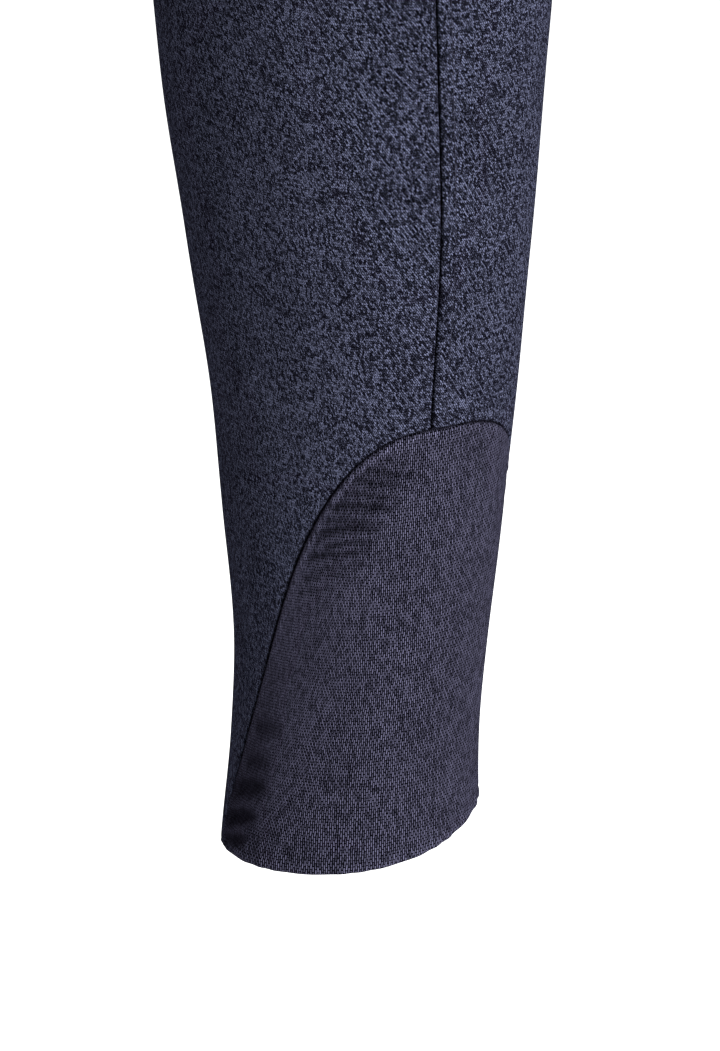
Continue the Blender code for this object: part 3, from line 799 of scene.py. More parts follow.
# Narrow woven polyester tape of the zip: a fine herringbone, darker than the cloth.
ZIP_TAPE = replace(
    STRETCH_TWILL,
    name="zip_tape_polyester",
    row_mm=0.5,
    float_mm=1.5,
    turn_degrees=0.0,
    ground="#15151f",
    crown="#3a3b50",
    relief_mm=0.10,
)


@dataclass(frozen=True)
class PlainFinish:
    """A finish with one colour, faintly mottled, for threads and hard trims.

    Attributes:
        name: what the material is.
        dark, light: the colours that it mottles between.
        grain_mm: the size of the mottling.
        roughness, metallic, gloss: of its surface.
        relief_mm: how uneven its surface is.
    """

    name: str
    dark: str
    light: str
    grain_mm: float
    roughness: float
    metallic: float
    gloss: float
    relief_mm: float

    def material(self) -> bpy.types.Material:
        """The finish as a material."""
        material, tree, shader = fresh_material(self.name, self.light)
        place = add_node(tree, "ShaderNodeTexCoord").outputs["Object"]
        grains = {"Scale": 1.0 / (self.grain_mm * MM), "Detail": 3.0}
        grain = add_node(tree, "ShaderNodeTexNoise", grains, {"Vector": place}).outputs["Fac"]
        tree.links.new(ramp(tree, grain, {0.35: self.dark, 0.65: self.light}), shader.inputs["Base Color"])
        depth = {"Strength": 1.0, "Distance": self.relief_mm * MM}
        bump = add_node(tree, "ShaderNodeBump", depth, {"Height": grain}).outputs["Normal"]
        tree.links.new(bump, shader.inputs["Normal"])
        shader.inputs["Roughness"].default_value = self.roughness
        shader.inputs["Metallic"].default_value = self.metallic
        shader.inputs["Specular IOR Level"].default_value = self.gloss
        return material


# Corespun polyester sewing thread, dyed to match: a slight lustre over the matt cloth.
SEWING_THREAD = PlainFinish("sewing_thread_polyester", "#0d0d14", "#1c1c28", 0.4, 0.60, 0.0, 0.04, 0.04)
# Cast polyester resin button, tumbled: dark navy with a soft gloss.
BUTTON_RESIN = PlainFinish("cast_resin_button", "#07070d", "#0e0f18", 3.0, 0.40, 0.0, 0.16, 0.01)
# Zinc alloy slider, tumbled and gunmetal plated: dull with soft highlights.
SLIDER_ZINC = PlainFinish("plated_zinc_alloy", "#3a3a3e", "#4c4c52", 0.6, 0.42, 1.0, 0.50, 0.01)
# Moulded acetal zip chain: dark and slightly shiny.
CHAIN_ACETAL = PlainFinish("moulded_acetal_chain", "#0a0a10", "#13131c", 1.0, 0.50, 0.0, 0.16, 0.01)


def deselect_all() -> None:
    """Leaves nothing selected, so that an operator acts only on what is added next."""
    bpy.ops.object.select_all(action="DESELECT")


class SmallPiece(NamedTuple):
    """One small piece that is copied many times."""

    corners: np.ndarray
    faces: list[list[int]]


def taken_apart(piece: bpy.types.Object) -> SmallPiece:
    """The corners and faces of a modelled piece, which leaves the scene."""
    corners = np.array([corner.co for corner in piece.data.vertices], float)
    small = SmallPiece(corners, [list(face.vertices) for face in piece.data.polygons])
    bpy.data.objects.remove(piece, do_unlink=True)
    return small


def copied(
    name: str, small: SmallPiece, middle: np.ndarray, axes: Iterable[np.ndarray]
) -> bpy.types.Mesh:
    """A mesh of copies of a small piece, facing out.

    Args:
        name: the mesh's name.
        small: the piece.
        middle: where each copy's origin goes.
        axes: the directions of each copy's X, Y and Z.

    Returns:
        The mesh.
    """
    placed = middle[:, None]
    for column, axis in enumerate(axes):
        placed = placed + small.corners[None, :, column : column + 1] * axis[:, None]
    count = len(small.corners)
    faces = [[i + k * count for i in face] for k in range(len(middle)) for face in small.faces]
    mesh = bpy.data.meshes.new(name)
    mesh.from_pydata(placed.reshape(-1, 3).tolist(), [], faces)
    work = bmesh.new()
    work.from_mesh(mesh)
    bmesh.ops.recalc_face_normals(work, faces=work.faces)
    work.to_mesh(mesh)
    work.free()
    return mesh


@dataclass(frozen=True)
class StitchLine:
    """A row of lockstitches laid along a line on the cloth.

    Attributes:
        pitch: from one stitch to the next.
        length: of one stitch that shows.
        thickness: of the thread.
        sink: how far the thread's middle lies under the line.
    """

    pitch: float = 0.0030
    length: float = 0.0025
    thickness: float = 0.00040
    sink: float = 0.00004

    def one_stitch(self) -> SmallPiece:
        """One stitch, lying along Z."""
        deselect_all()
        bpy.ops.mesh.primitive_uv_sphere_add(segments=6, ring_count=6, radius=0.5)
        grain = bpy.context.object
        bpy.ops.object.mode_set(mode="EDIT")
        bpy.ops.mesh.select_all(action="SELECT")
        bpy.ops.transform.resize(value=(self.thickness, self.thickness, self.length))
        bpy.ops.object.mode_set(mode="OBJECT")
        return taken_apart(grain)

    def places(self, line: np.ndarray, out: np.ndarray) -> tuple[np.ndarray, np.ndarray, np.ndarray]:
        """Where the stitches of one line lie.

        Args:
            line: points along the line.
            out: the direction out of the cloth at each.

        Returns:
            The stitches' middles, their directions along the line and out of the cloth.
        """
        reach = np.concatenate([[0.0], np.cumsum(np.linalg.norm(np.diff(line, axis=0), axis=-1))])
        at = np.arange(self.pitch / 2, reach[-1], self.pitch)
        middle = np.stack([np.interp(at, reach, c) for c in line.T], axis=-1)
        ahead = np.stack([np.interp(at + self.length / 2, reach, c) for c in line.T], axis=-1)
        up = np.stack([np.interp(at, reach, c) for c in out.T], axis=-1)
        up /= np.linalg.norm(up, axis=-1, keepdims=True)
        along = ahead - middle
        along /= np.linalg.norm(along, axis=-1, keepdims=True) + 1e-12
        return middle - self.sink * up, along, up

    def lay(
        self,
        name: str,
        lines: list[tuple[np.ndarray, np.ndarray]],
        material: bpy.types.Material,
    ) -> bpy.types.Object:
        """Lays stitches along lines and joins them as one piece.

        Args:
            name: the piece's name.
            lines: points and directions out, for each line.
            material: the thread.

        Returns:
            The piece.
        """
        found = [self.places(*line) for line in lines]
        middle, along, up = (np.concatenate(parts) for parts in zip(*found))
        mesh = copied(name, self.one_stitch(), middle, (np.cross(up, along), up, along))
        mesh.shade_smooth()
        piece = new_object(name, mesh, material)
        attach(piece, BODY)
        LOG.info("%s: %d stitches", name, len(middle))
        return piece


# Distances from an edge at which cloth has rows of points, close enough to roll it over.
EDGE_MM = (0.0, 0.15, 0.35, 0.6, 0.9, 1.3, 1.8, 2.5, 3.5)


def edge_distance(points: np.ndarray) -> np.ndarray:
    """How far each point of a grid is from its first column, measured square to that edge."""
    edge = np.gradient(points[:, 0], axis=0)
    edge /= np.linalg.norm(edge, axis=-1, keepdims=True) + 1e-12
    into = points[:, 1] - points[:, 0]
    into /= np.linalg.norm(into, axis=-1, keepdims=True) + 1e-12
    square = np.linalg.norm(np.cross(edge, into), axis=-1)
    return row_lengths(points) * square[:, None]


class Edges(NamedTuple):
    """How far each point of a grid is from the grid's four edges."""

    first: np.ndarray
    last: np.ndarray
    bottom: np.ndarray
    top: np.ndarray


def edges_of(points: np.ndarray) -> Edges:
    """The distances of a grid's points from its first and last columns and its bottom and top rows."""
    turned = points.transpose(1, 0, 2)
    return Edges(
        edge_distance(points),
        edge_distance(points[:, ::-1])[:, ::-1],
        edge_distance(turned).T,
        edge_distance(turned[:, ::-1])[:, ::-1].T,
    )


def painted_edge_shade(distances: Iterable[np.ndarray], reach: float) -> np.ndarray:
    """The painted shade along seams and edges: 1 at the edges and nearly 0 past reach."""
    return np.max([np.exp(-((distance / reach) ** 2)) for distance in distances], axis=0)


def stitched_column(distance: np.ndarray, inset: float) -> np.ndarray:
    """The fractional column, in each row of a grid, at this distance from its edge."""
    columns = np.arange(distance.shape[1])
    return np.array([np.interp(inset, row, columns) for row in distance])


def stitched_line(grid: np.ndarray, columns: np.ndarray) -> np.ndarray:
    """The points of a grid at a fractional column of each row."""
    low = np.clip(columns.astype(int), 0, grid.shape[1] - 2)
    share = (columns - low)[:, None]
    rows = np.arange(len(grid))
    return grid[rows, low] * (1.0 - share) + grid[rows, low + 1] * share


def groove(distance: np.ndarray, depth: float, half_width: float) -> np.ndarray:
    """The depth of a soft groove, by distance from its middle."""
    return depth * np.exp(-((distance / half_width) ** 2))


@dataclass(frozen=True)
class LegPanel:
    """A front or a back of one leg, from the hem and the arch up to the waistband.

    Attributes:
        side: the leg.
        is_front: true for a front.
        wall: the cloth's thickness.
        row_spacing, column_spacing: of the mesh away from the edges.
        outseam_dip, outseam_reach: how deep the cloth turns in at the side seam, and from how far.
        inseam_dip, inseam_reach: the same at the inseam and the centre back.
        plain_dip, plain_reach: the same at the arch, the hem and the waist.
        back_reach: how many times further a back turns in at the side seam.
        stitch_from_seam, stitch_press, stitch_width: where the side seam's allowance is stitched down, on the
            back, and the depth and half the width of the groove there.
        smooth_height, smooth_rise: from where the creases fade upwards, and how far below that they start to.
        fly_height, fly_rise, fly_width: where the fly keeps a front flat: from where, over what height it
            begins, and how far out.
        outseam_shade_reach, edge_shade, edge_shade_reach: how far the painted shade in the side seam reaches,
        and how strong the painted shade along the other edges is and how far it reaches.
        stitch_ends: rows left without stitches at each end.
    """

    side: Side
    is_front: bool
    wall: float = 0.0015
    row_spacing: float = 0.0032
    column_spacing: float = 0.0030
    outseam_dip: float = 0.0011
    outseam_reach: float = 0.0012
    inseam_dip: float = 0.0008
    inseam_reach: float = 0.0014
    plain_dip: float = 0.0005
    plain_reach: float = 0.0012
    back_reach: float = 1.9
    stitch_from_seam: float = 0.0047
    stitch_press: float = 0.00016
    stitch_width: float = 0.0007
    smooth_height: float = 0.850
    smooth_rise: float = 0.05
    fly_height: float = 0.69
    fly_rise: float = 0.03
    fly_width: float = 0.045
    outseam_shade_reach: float = 0.00060
    edge_shade: float = 0.8
    edge_shade_reach: float = 0.00035
    stitch_ends: int = 6

    @property
    def name(self) -> str:
        """The name of the frame's node that the panel stands for."""
        return f"{'front' if self.is_front else 'back'}_{self.side.name.lower()}"

    def column_angles(self) -> np.ndarray:
        """The columns' angles at the hem, in order round the leg."""
        front_foot, back_foot = FORM.arch_ends(1)
        width = float(FORM.width(FORM.arch_peak))
        close = np.degrees(np.array(EDGE_MM) * MM / width)
        gap = float(FORM.gap_angle(FORM.arch_peak))
        hem_gap = float(FORM.gap_angle(0.0))
        peak = ARCH_ANGLE - gap if self.is_front else ARCH_ANGLE + gap
        foot = front_foot if self.is_front else back_foot
        inseam = -90.0 + hem_gap if self.is_front else 270.0 - hem_gap
        toward = 1.0 if self.is_front else -1.0
        arch = FORM.arch_stations(foot, peak - toward * close[-1], self.column_spacing)
        arch = np.concatenate([arch[:-1], peak - toward * close[::-1]])
        strip = crowded(abs(foot - inseam) * math.radians(width), self.column_spacing, EDGE_MM, (0.0,))
        angles = np.concatenate([inseam + strip[:-1] * (foot - inseam), arch])
        return angles if self.is_front else angles[::-1]

    def grid(self) -> tuple[np.ndarray, np.ndarray]:
        """The angles and heights of the panel's points, rows upwards and columns round the leg."""
        columns = self.column_angles()
        shares = (columns - columns[0]) / (columns[-1] - columns[0])

        def angles_at(heights: np.ndarray) -> np.ndarray:
            """Every column's angle at these heights."""
            if self.is_front:
                start = -FORM.inner_angle(heights, FORM.slit(heights))
                end = FORM.side_angle(heights) - FORM.gap_angle(heights)
            else:
                start = FORM.side_angle(heights) + FORM.gap_angle(heights)
                end = 180.0 + FORM.inner_angle(heights, HALF_GAP)
            return start + shares * (end - start)

        front_foot, back_foot = FORM.arch_ends(1)
        on_arch = (columns > front_foot + 1e-6) & (columns < back_foot - 1e-6)
        low = np.where(on_arch, FORM.arch_edge(columns, 1), FORM.hem_height(columns))
        top = np.full(len(columns), WAIST_HEIGHT - FORM.band_height)
        for _ in range(FITTINGS):
            top = FORM.panel_top(angles_at(top))
        rows = crowded(float(np.mean(top - low)), self.row_spacing, EDGE_MM, EDGE_MM)
        heights = low + rows[:, None] * (top - low)
        return angles_at(heights), heights

    def build(self, cloth: bpy.types.Material, thread: bpy.types.Material) -> bpy.types.Object:
        """Makes the panel and what is stitched on it.

        Args:
            cloth: the panel's cloth.
            thread: the sewing thread.

        Returns:
            The panel.
        """
        angles, heights = self.grid()
        base, out = FORM.surface(angles, heights), FORM.outward(angles, heights)
        edges = edges_of(base)
        outseam, inseam = (edges.last, edges.first) if self.is_front else (edges.first, edges.last)
        folds = creases_on(self.side, BODY_FOLDS, BODY_SEED)
        slack = eased((self.smooth_height - heights) / self.smooth_rise)
        if self.is_front:
            at_fly = eased((heights - self.fly_height) / self.fly_rise)
            slack = slack * (1.0 - at_fly * (1.0 - eased(inseam / self.fly_width)))
        lift = FORM.relief(angles, heights, folds) + undulation(angles, heights, self.side)
        reach = self.outseam_reach if self.is_front else self.back_reach * self.outseam_reach
        dips = np.max(
            [
                rolled(outseam, self.outseam_dip, reach),
                rolled(inseam, self.inseam_dip, self.inseam_reach),
                rolled(edges.bottom, self.plain_dip, self.plain_reach),
                rolled(edges.top, self.plain_dip, self.plain_reach),
            ],
            axis=0,
        )
        pressed = 0.0
        if not self.is_front:
            pressed = groove(outseam - self.stitch_from_seam, self.stitch_press, self.stitch_width)
        outer = base + (lift * slack - dips - pressed)[..., None] * out
        inner = outer - self.wall * out
        self.close_centre(inner, heights)
        across = row_lengths(base)
        middle = across[:, across.shape[1] // 2]
        flat = np.stack([across - middle[:, None], heights], axis=-1) / MM
        # Painted shade: the cloth is darkened in the bottom of the side seam and along the inseam, the arch,
        # the hem and the waist.
        others = painted_edge_shade((inseam, edges.bottom, edges.top), self.edge_shade_reach)
        mark = np.maximum(painted_edge_shade((outseam,), self.outseam_shade_reach), self.edge_shade * others)
        outer, inner = mirrored(outer, self.side), mirrored(inner, self.side)
        panel = cloth_sheet(
            f"{self.name}_cloth", outer, inner, flat, mark, cloth, flip=self.side is Side.RIGHT
        )
        if not self.is_front:
            column = stitched_column(outseam, self.stitch_from_seam)
            shown = slice(self.stitch_ends, -self.stitch_ends)
            line, up = stitched_line(outer, column), stitched_line(mirrored(out, self.side), column)
            stitches = StitchLine().lay(f"{self.name}_topstitch", [(line[shown], up[shown])], thread)
        declare_sheet(panel, self.name, cut_of(base))
        return panel

    def close_centre(self, inner: np.ndarray, heights: np.ndarray) -> None:
        """Brings the inner face up to x = 0 where the centre seam is closed, so that no light gets in."""
        column = 0 if self.is_front else -1
        top = FORM.fly_end_height if self.is_front else WAIST_HEIGHT
        closed = (heights[:, column] > CROTCH_HEIGHT) & (heights[:, column] < top)
        inner[closed, column, 0] = 0.0


@dataclass(frozen=True)
class StretchCuff:
    """The knitted lower leg, let in below a lopsided arch.

    Attributes:
        side: the leg.
        wall: the knit's thickness.
        row_spacing, column_spacing: of the mesh away from the edges.
        seam_dip, seam_reach: how deep the knit turns in at the arch, and from how far.
        seam_hold: how near the arch the seam starts to hold the creases flush with the leg's cloth.
        gather_pitch, gather_height: the small lumps where it was eased into the seam.
        gather_below, gather_spread: how far below the seam they lie, and half their length.
        gather_angle, gather_turn, gather_least: where round the leg they are highest, over how many degrees
            they fade, and the share of their height that is left past that.
        hem_band, hem_lift: the turned-up hem's height, and how far it stands out.
        hem_groove: how far above it the groove of its stitching lies, and half its width.
        hem_grown: the height over which the hem takes on its shape beside the arch's feet.
        ripple_pitch, ripple_height, ripple_reach: the hem's slack waves.
        ripple_drift, ripple_drift_pitch: how far, as a phase, they stray from even, and over what length.
        deep_fold, painted_fold_shade: the depth from which the painted shade in a fold's bottom is darkest,
            and how dark that is.
        painted_seam_shade, painted_hem_shade: how dark the painted shade in the seam and at the hem's edge
            is.
        gathers_painted_highlight, hem_light: how much lighter the painted highlight makes the gathers' tops,
            and how much lighter the hem band is drawn.
    """

    side: Side
    wall: float = 0.0015
    row_spacing: float = 0.00072
    column_spacing: float = 0.0016
    seam_dip: float = 0.0006
    seam_reach: float = 0.0009
    seam_hold: float = 0.0034
    gather_pitch: float = 0.0037
    gather_height: float = 0.00075
    gather_below: float = 0.0016
    gather_spread: float = 0.0009
    gather_angle: float = 46.0
    gather_turn: float = 24.0
    gather_least: float = 0.30
    hem_band: float = 0.0032
    hem_lift: float = 0.00018
    hem_groove: float = 0.0005
    hem_grown: float = 0.02
    ripple_pitch: float = 0.0088
    ripple_height: float = 0.00024
    ripple_reach: float = 0.0090
    ripple_drift: float = 1.8
    ripple_drift_pitch: float = 0.031
    deep_fold: float = 0.0011
    painted_fold_shade: float = 0.62
    painted_seam_shade: float = 0.85
    painted_hem_shade: float = 0.5
    gathers_painted_highlight: float = 1.6
    hem_light: float = 0.28

    @property
    def name(self) -> str:
        """The name of the frame's node that the cuff stands for."""
        return f"cuff_{self.side.name.lower()}"

    def grid(self) -> tuple[np.ndarray, np.ndarray]:
        """The angles and heights of the cuff's points; its rows meet at both feet of the arch."""
        front, back = FORM.arch_ends(-1)
        angles = FORM.arch_stations(front, back, self.column_spacing)
        low, top = FORM.hem_height(angles), FORM.arch_edge(angles, -1)
        top[[0, -1]] = low[[0, -1]]
        rows = crowded(FORM.arch_peak, self.row_spacing, EDGE_MM, EDGE_MM)
        heights = low + rows[:, None] * (top - low)
        return np.broadcast_to(angles, heights.shape), heights

    def gathers(self, along: np.ndarray, below: np.ndarray, angles: np.ndarray) -> np.ndarray:
        """The lumps just below the arch.

        Args:
            along: distance along the arch, for each column.
            below: distance below it.
            angles: angles round the leg.

        Returns:
            Their lift.
        """
        wobble = 1.5 * np.sin(2 * np.pi * along / (5.3 * self.gather_pitch))
        wave = 0.5 + 0.5 * np.cos(2 * np.pi * along / self.gather_pitch + wobble)
        near = groove(below - self.gather_below, 1.0, self.gather_spread)
        rest = 1.0 - self.gather_least
        eased_in = self.gather_least + groove(angles - self.gather_angle, rest, self.gather_turn)
        return self.gather_height * wave**1.5 * near * eased_in

    def hem_shape(self, along: np.ndarray, above: np.ndarray) -> np.ndarray:
        """The lift of the turned-up hem and its slack waves.

        Args:
            along: distance along the hem, for each column.
            above: distance above it.

        Returns:
            Their lift.
        """
        past = above - self.hem_band
        band = self.hem_lift * (1.0 - eased((past + 0.0004) / 0.0008))
        stitched = groove(past - self.hem_groove, self.hem_lift, self.hem_groove)
        drift = self.ripple_drift * np.sin(2 * np.pi * along / self.ripple_drift_pitch)
        phase = 2 * np.pi * along / self.ripple_pitch + drift
        return band - stitched + self.ripple_height * np.sin(phase) * np.exp(-above / self.ripple_reach)

    def build(self, knit: bpy.types.Material) -> bpy.types.Object:
        """Makes the cuff of this knit."""
        angles, heights = self.grid()
        base, out = FORM.surface(angles, heights), FORM.outward(angles, heights)
        turned = base.transpose(1, 0, 2)
        above = edge_distance(turned).T
        below = edge_distance(turned[:, ::-1])[:, ::-1].T
        across = row_lengths(base)
        creases = creases_on(self.side, CUFF_PUCKERS + CUFF_BACK_PUCKERS + CUFF_FOLDS, CUFF_SEED)
        puckered = FORM.relief(angles, heights, creases)
        gathered = self.gathers(across[-1], below, angles)
        lift = puckered * eased(below / self.seam_hold) + gathered
        tall = eased((heights[-1] - heights[0]) / self.hem_grown)
        lift += tall * self.hem_shape(across[0], above)
        folds = creases_on(self.side, BODY_FOLDS, BODY_SEED)
        lift += undulation(angles, heights, self.side) + FORM.relief(angles, heights, folds)
        dips = np.max([rolled(edge, self.seam_dip, self.seam_reach) for edge in (below, above)], axis=0)
        outer = base + (lift - dips)[..., None] * out
        inner = outer - self.wall * out
        # The inner face reaches up to the leg's cloth, so that no light comes through the seam.
        inner[-1] += FORM.surface(angles[-1], FORM.arch_edge(angles[-1], 1)) - base[-1]
        peak = int(np.argmin(np.abs(angles[0] - ARCH_ANGLE)))
        flat = np.stack([across - across[:, peak : peak + 1], heights], axis=-1) / MM
        # Painted shade in the bottom of the seam, at the hem's edge and in the bottoms of the puckers and
        # folds; a painted highlight on the gathers' tops; the hem band drawn lighter.
        at_seam, at_hem = painted_edge_shade((below,), 0.00035), painted_edge_shade((above,), 0.0003)
        mark = np.maximum(self.painted_seam_shade * at_seam, self.painted_hem_shade * at_hem)
        mark = np.maximum(mark, self.painted_fold_shade * np.clip(-puckered / self.deep_fold, 0.0, 1.0))
        mark = mark - self.gathers_painted_highlight * gathered / self.gather_height
        mark -= self.hem_light * eased((self.hem_band - above) / 0.0006)
        outer, inner = mirrored(outer, self.side), mirrored(inner, self.side)
        piece = cloth_sheet(f"{self.name}_knit", outer, inner, flat, mark, knit, flip=self.side is Side.RIGHT)
        legs = [f"front_{self.side.name.lower()}", f"back_{self.side.name.lower()}"]
        declare_sheet(piece, self.name, cut_of(base))
        return piece


@dataclass(frozen=True)
class Waistband:
    """The folded band round the waist, whose left end runs on under its right end.

    Attributes:
        wall: its thickness, folded.
        overlap, fade: the shares of half the waist that the ends pass the middle, and where the tuck is gone.
        row_spacing, column_spacing: of the mesh away from the edges.
        fold_round, fold_reach: how far the edges are rounded away, and from how far.
        stitch_inset, stitch_press, stitch_width: where its topstitching is, from both edges, and the depth
            and half the width of the groove there.
        stitch_start, stitch_stop: the share past the overlap, and the columns from the end, left unstitched.
        ease_height, ease_pitch, ease_reach: the slight waves where the panels were eased in below it.
        middle_reach: how near the centre front and back the cloth starts to face straight ahead or behind.
    """

    wall: float = 0.0030
    overlap: float = 0.045
    fade: float = 0.120
    row_spacing: float = 0.0026
    column_spacing: float = 0.0022
    fold_round: float = 0.0012
    fold_reach: float = 0.0016
    stitch_inset: float = 0.0026
    stitch_press: float = 0.00018
    stitch_width: float = 0.0006
    stitch_start: float = 0.004
    stitch_stop: int = 4
    ease_height: float = 0.00010
    ease_pitch: float = 0.0105
    ease_reach: float = 0.006
    middle_reach: float = 0.012

    def place(self, share: np.ndarray, below: np.ndarray) -> tuple[np.ndarray, np.ndarray]:
        """The waist's outer face.

        Args:
            share: 0 at the centre front, 1 at the centre back by the left side, 2 at the centre front again.
            below: distance below the top edge.

        Returns:
            The points and the directions out.
        """
        share, below = np.broadcast_arrays(share, below)
        within = np.where(share > 1.0, 2.0 - share, share)
        edge = FORM.inner_angle(WAIST_HEIGHT - below, 0.0)
        angle = -edge + np.abs(within) * (180.0 + 2.0 * edge)
        height = FORM.waist_edge(angle, below)
        sign = np.where(np.where(share > 1.0, within > 0.0, within < 0.0), -1.0, 1.0)
        turn = np.stack([sign, np.ones_like(sign), np.ones_like(sign)], axis=-1)
        points, out = FORM.surface(angle, height), FORM.outward(angle, height)
        out[..., 0] *= eased(np.abs(points[..., 0]) / self.middle_reach)
        out /= np.linalg.norm(out, axis=-1, keepdims=True)
        return points * turn, out * turn

    def tuck(self, share: np.ndarray) -> np.ndarray:
        """How far the under end lies inside the upper one."""
        return eased((self.fade - share) / (self.fade - self.overlap)) * (self.wall + SEAM_GAP)

    def build(self, cloth: bpy.types.Material, thread: bpy.types.Material) -> bpy.types.Object:
        """Makes the band and its topstitching.

        Args:
            cloth: the band's cloth.
            thread: the sewing thread.

        Returns:
            The band.
        """
        columns = crowded((2 + 2 * self.overlap) * HALF_WAIST, self.column_spacing, EDGE_MM, EDGE_MM)
        shares = -self.overlap + columns * (2.0 + 2.0 * self.overlap)
        rows = crowded(FORM.band_height, self.row_spacing, EDGE_MM, EDGE_MM)
        below = (FORM.band_height - HALF_GAP) * (1.0 - rows)[:, None]
        base, out = self.place(shares[None, :], below)
        base = base - self.tuck(shares)[None, :, None] * out
        edges = edges_of(base)
        round_off = np.max([rolled(distance, self.fold_round, self.fold_reach) for distance in edges], axis=0)
        stitched = np.minimum(edges.bottom, edges.top) - self.stitch_inset
        pressed = groove(stitched, self.stitch_press, self.stitch_width)
        along = row_lengths(base)
        waves = self.ease_height * np.sin(2 * np.pi * along / self.ease_pitch)
        ease = waves * np.exp(-edges.bottom / self.ease_reach)
        outer = base + (ease - round_off - pressed)[..., None] * out
        inner = base + (round_off - self.wall)[..., None] * out
        middle = np.broadcast_to(along[len(along) // 2], along.shape)
        flat = np.stack([middle, -below + 0.0 * along], axis=-1) / MM
        # Painted shade along the band's lower seam.
        mark = 0.8 * painted_edge_shade((edges.bottom,), 0.0004)
        band = cloth_sheet("waistband_cloth", outer, inner, flat, mark, cloth)
        lines = []
        for inset in (self.stitch_inset, FORM.band_height - self.stitch_inset):
            level = int(np.argmin(np.abs(below[:, 0] - inset)))
            shown = shares > self.overlap + self.stitch_start
            line, up = outer[level, shown], out[level, shown]
            lines.append((line[: -self.stitch_stop], up[: -self.stitch_stop]))
        stitches = StitchLine().lay("waistband_topstitch", lines, thread)
        declare_sheet(band, "waistband", cut_of(base))
        return band


def settle(piece: bpy.types.Object, middle: np.ndarray, out: np.ndarray) -> None:
    """Puts a piece modelled at the origin in its place, with its place in its mesh.

    Args:
        piece: the piece, whose X runs across the body and whose Z looks out of the cloth.
        middle: where its origin goes.
        out: the direction out of the cloth there.
    """
    face = Vector(out).normalized()
    along = face.cross(Vector((1.0, 0.0, 0.0))).normalized()
    turned = Matrix((along.cross(face), along, face)).transposed().to_4x4()
    piece.data.transform(Matrix.Translation(Vector(middle)) @ turned)
    piece.matrix_world = Matrix.Identity(4)


def take_up(*pieces: bpy.types.Object) -> None:
    """Leaves only these pieces selected, the first of them active."""
    deselect_all()
    for piece in pieces:
        piece.select_set(True)
    bpy.context.view_layer.objects.active = pieces[0]


def shade(piece: bpy.types.Object) -> None:
    """Shades a piece smooth but for its sharp edges."""
    take_up(piece)
    bpy.ops.object.shade_smooth_by_angle(angle=math.radians(35))


def sink_top(piece: bpy.types.Object, rim: float, slope: float, depth: float) -> None:
    """Sinks the middle of a piece's flat top.

    Args:
        piece: the piece, modelled at the origin, whose top looks along +Z.
        rim: the width that stays level.
        slope: the width over which it goes down.
        depth: how far it goes down.
    """
    bpy.ops.object.mode_set(mode="EDIT")
    bpy.ops.mesh.select_mode(type="FACE")
    bpy.ops.mesh.select_all(action="DESELECT")
    work = bmesh.from_edit_mesh(piece.data)
    for face in work.faces:
        face.select_set(face.normal.z > 0.9 and face.calc_center_median().z > 0.0)
    bmesh.update_edit_mesh(piece.data)
    bpy.ops.mesh.inset(thickness=rim, depth=0.0)
    bpy.ops.mesh.inset(thickness=slope, depth=-depth)
    bpy.ops.object.mode_set(mode="OBJECT")


def cut_hole(piece: bpy.types.Object, place: tuple[float, float], radius: float) -> None:
    """Drills a round hole along Z through a piece.

    Args:
        piece: the piece.
        place: the hole's X and Y.
        radius: of the hole.
    """
    deselect_all()
    bpy.ops.mesh.primitive_cylinder_add(vertices=24, radius=radius, depth=0.02, location=(*place, 0.0))
    drill = bpy.context.object
    hole = piece.modifiers.new("hole", "BOOLEAN")
    hole.operation = "DIFFERENCE"
    hole.object = drill
    take_up(piece)
    bpy.ops.object.modifier_apply(modifier=hole.name)
    bpy.data.objects.remove(drill, do_unlink=True)


def soften_edges(piece: bpy.types.Object, width: float, segments: int) -> None:
    """Rounds a piece's sharp edges and shades it."""
    take_up(piece)
    edge = piece.modifiers.new("edge", "BEVEL")
    edge.width = width
    edge.segments = segments
    edge.limit_method = "ANGLE"
    bpy.ops.object.modifier_apply(modifier=edge.name)
    shade(piece)


def finished(piece: bpy.types.Object, name: str, material: bpy.types.Material, node: str) -> None:
    """Names a hard piece, gives it its finish, parents it to the body and hides the solid that it stands for.
    """
    piece.name = name
    piece.data.name = name
    piece.data.materials.clear()
    piece.data.materials.append(material)
    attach(piece, BODY)
    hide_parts(node)
    LOG.info("%s: %d faces", name, len(piece.data.polygons))


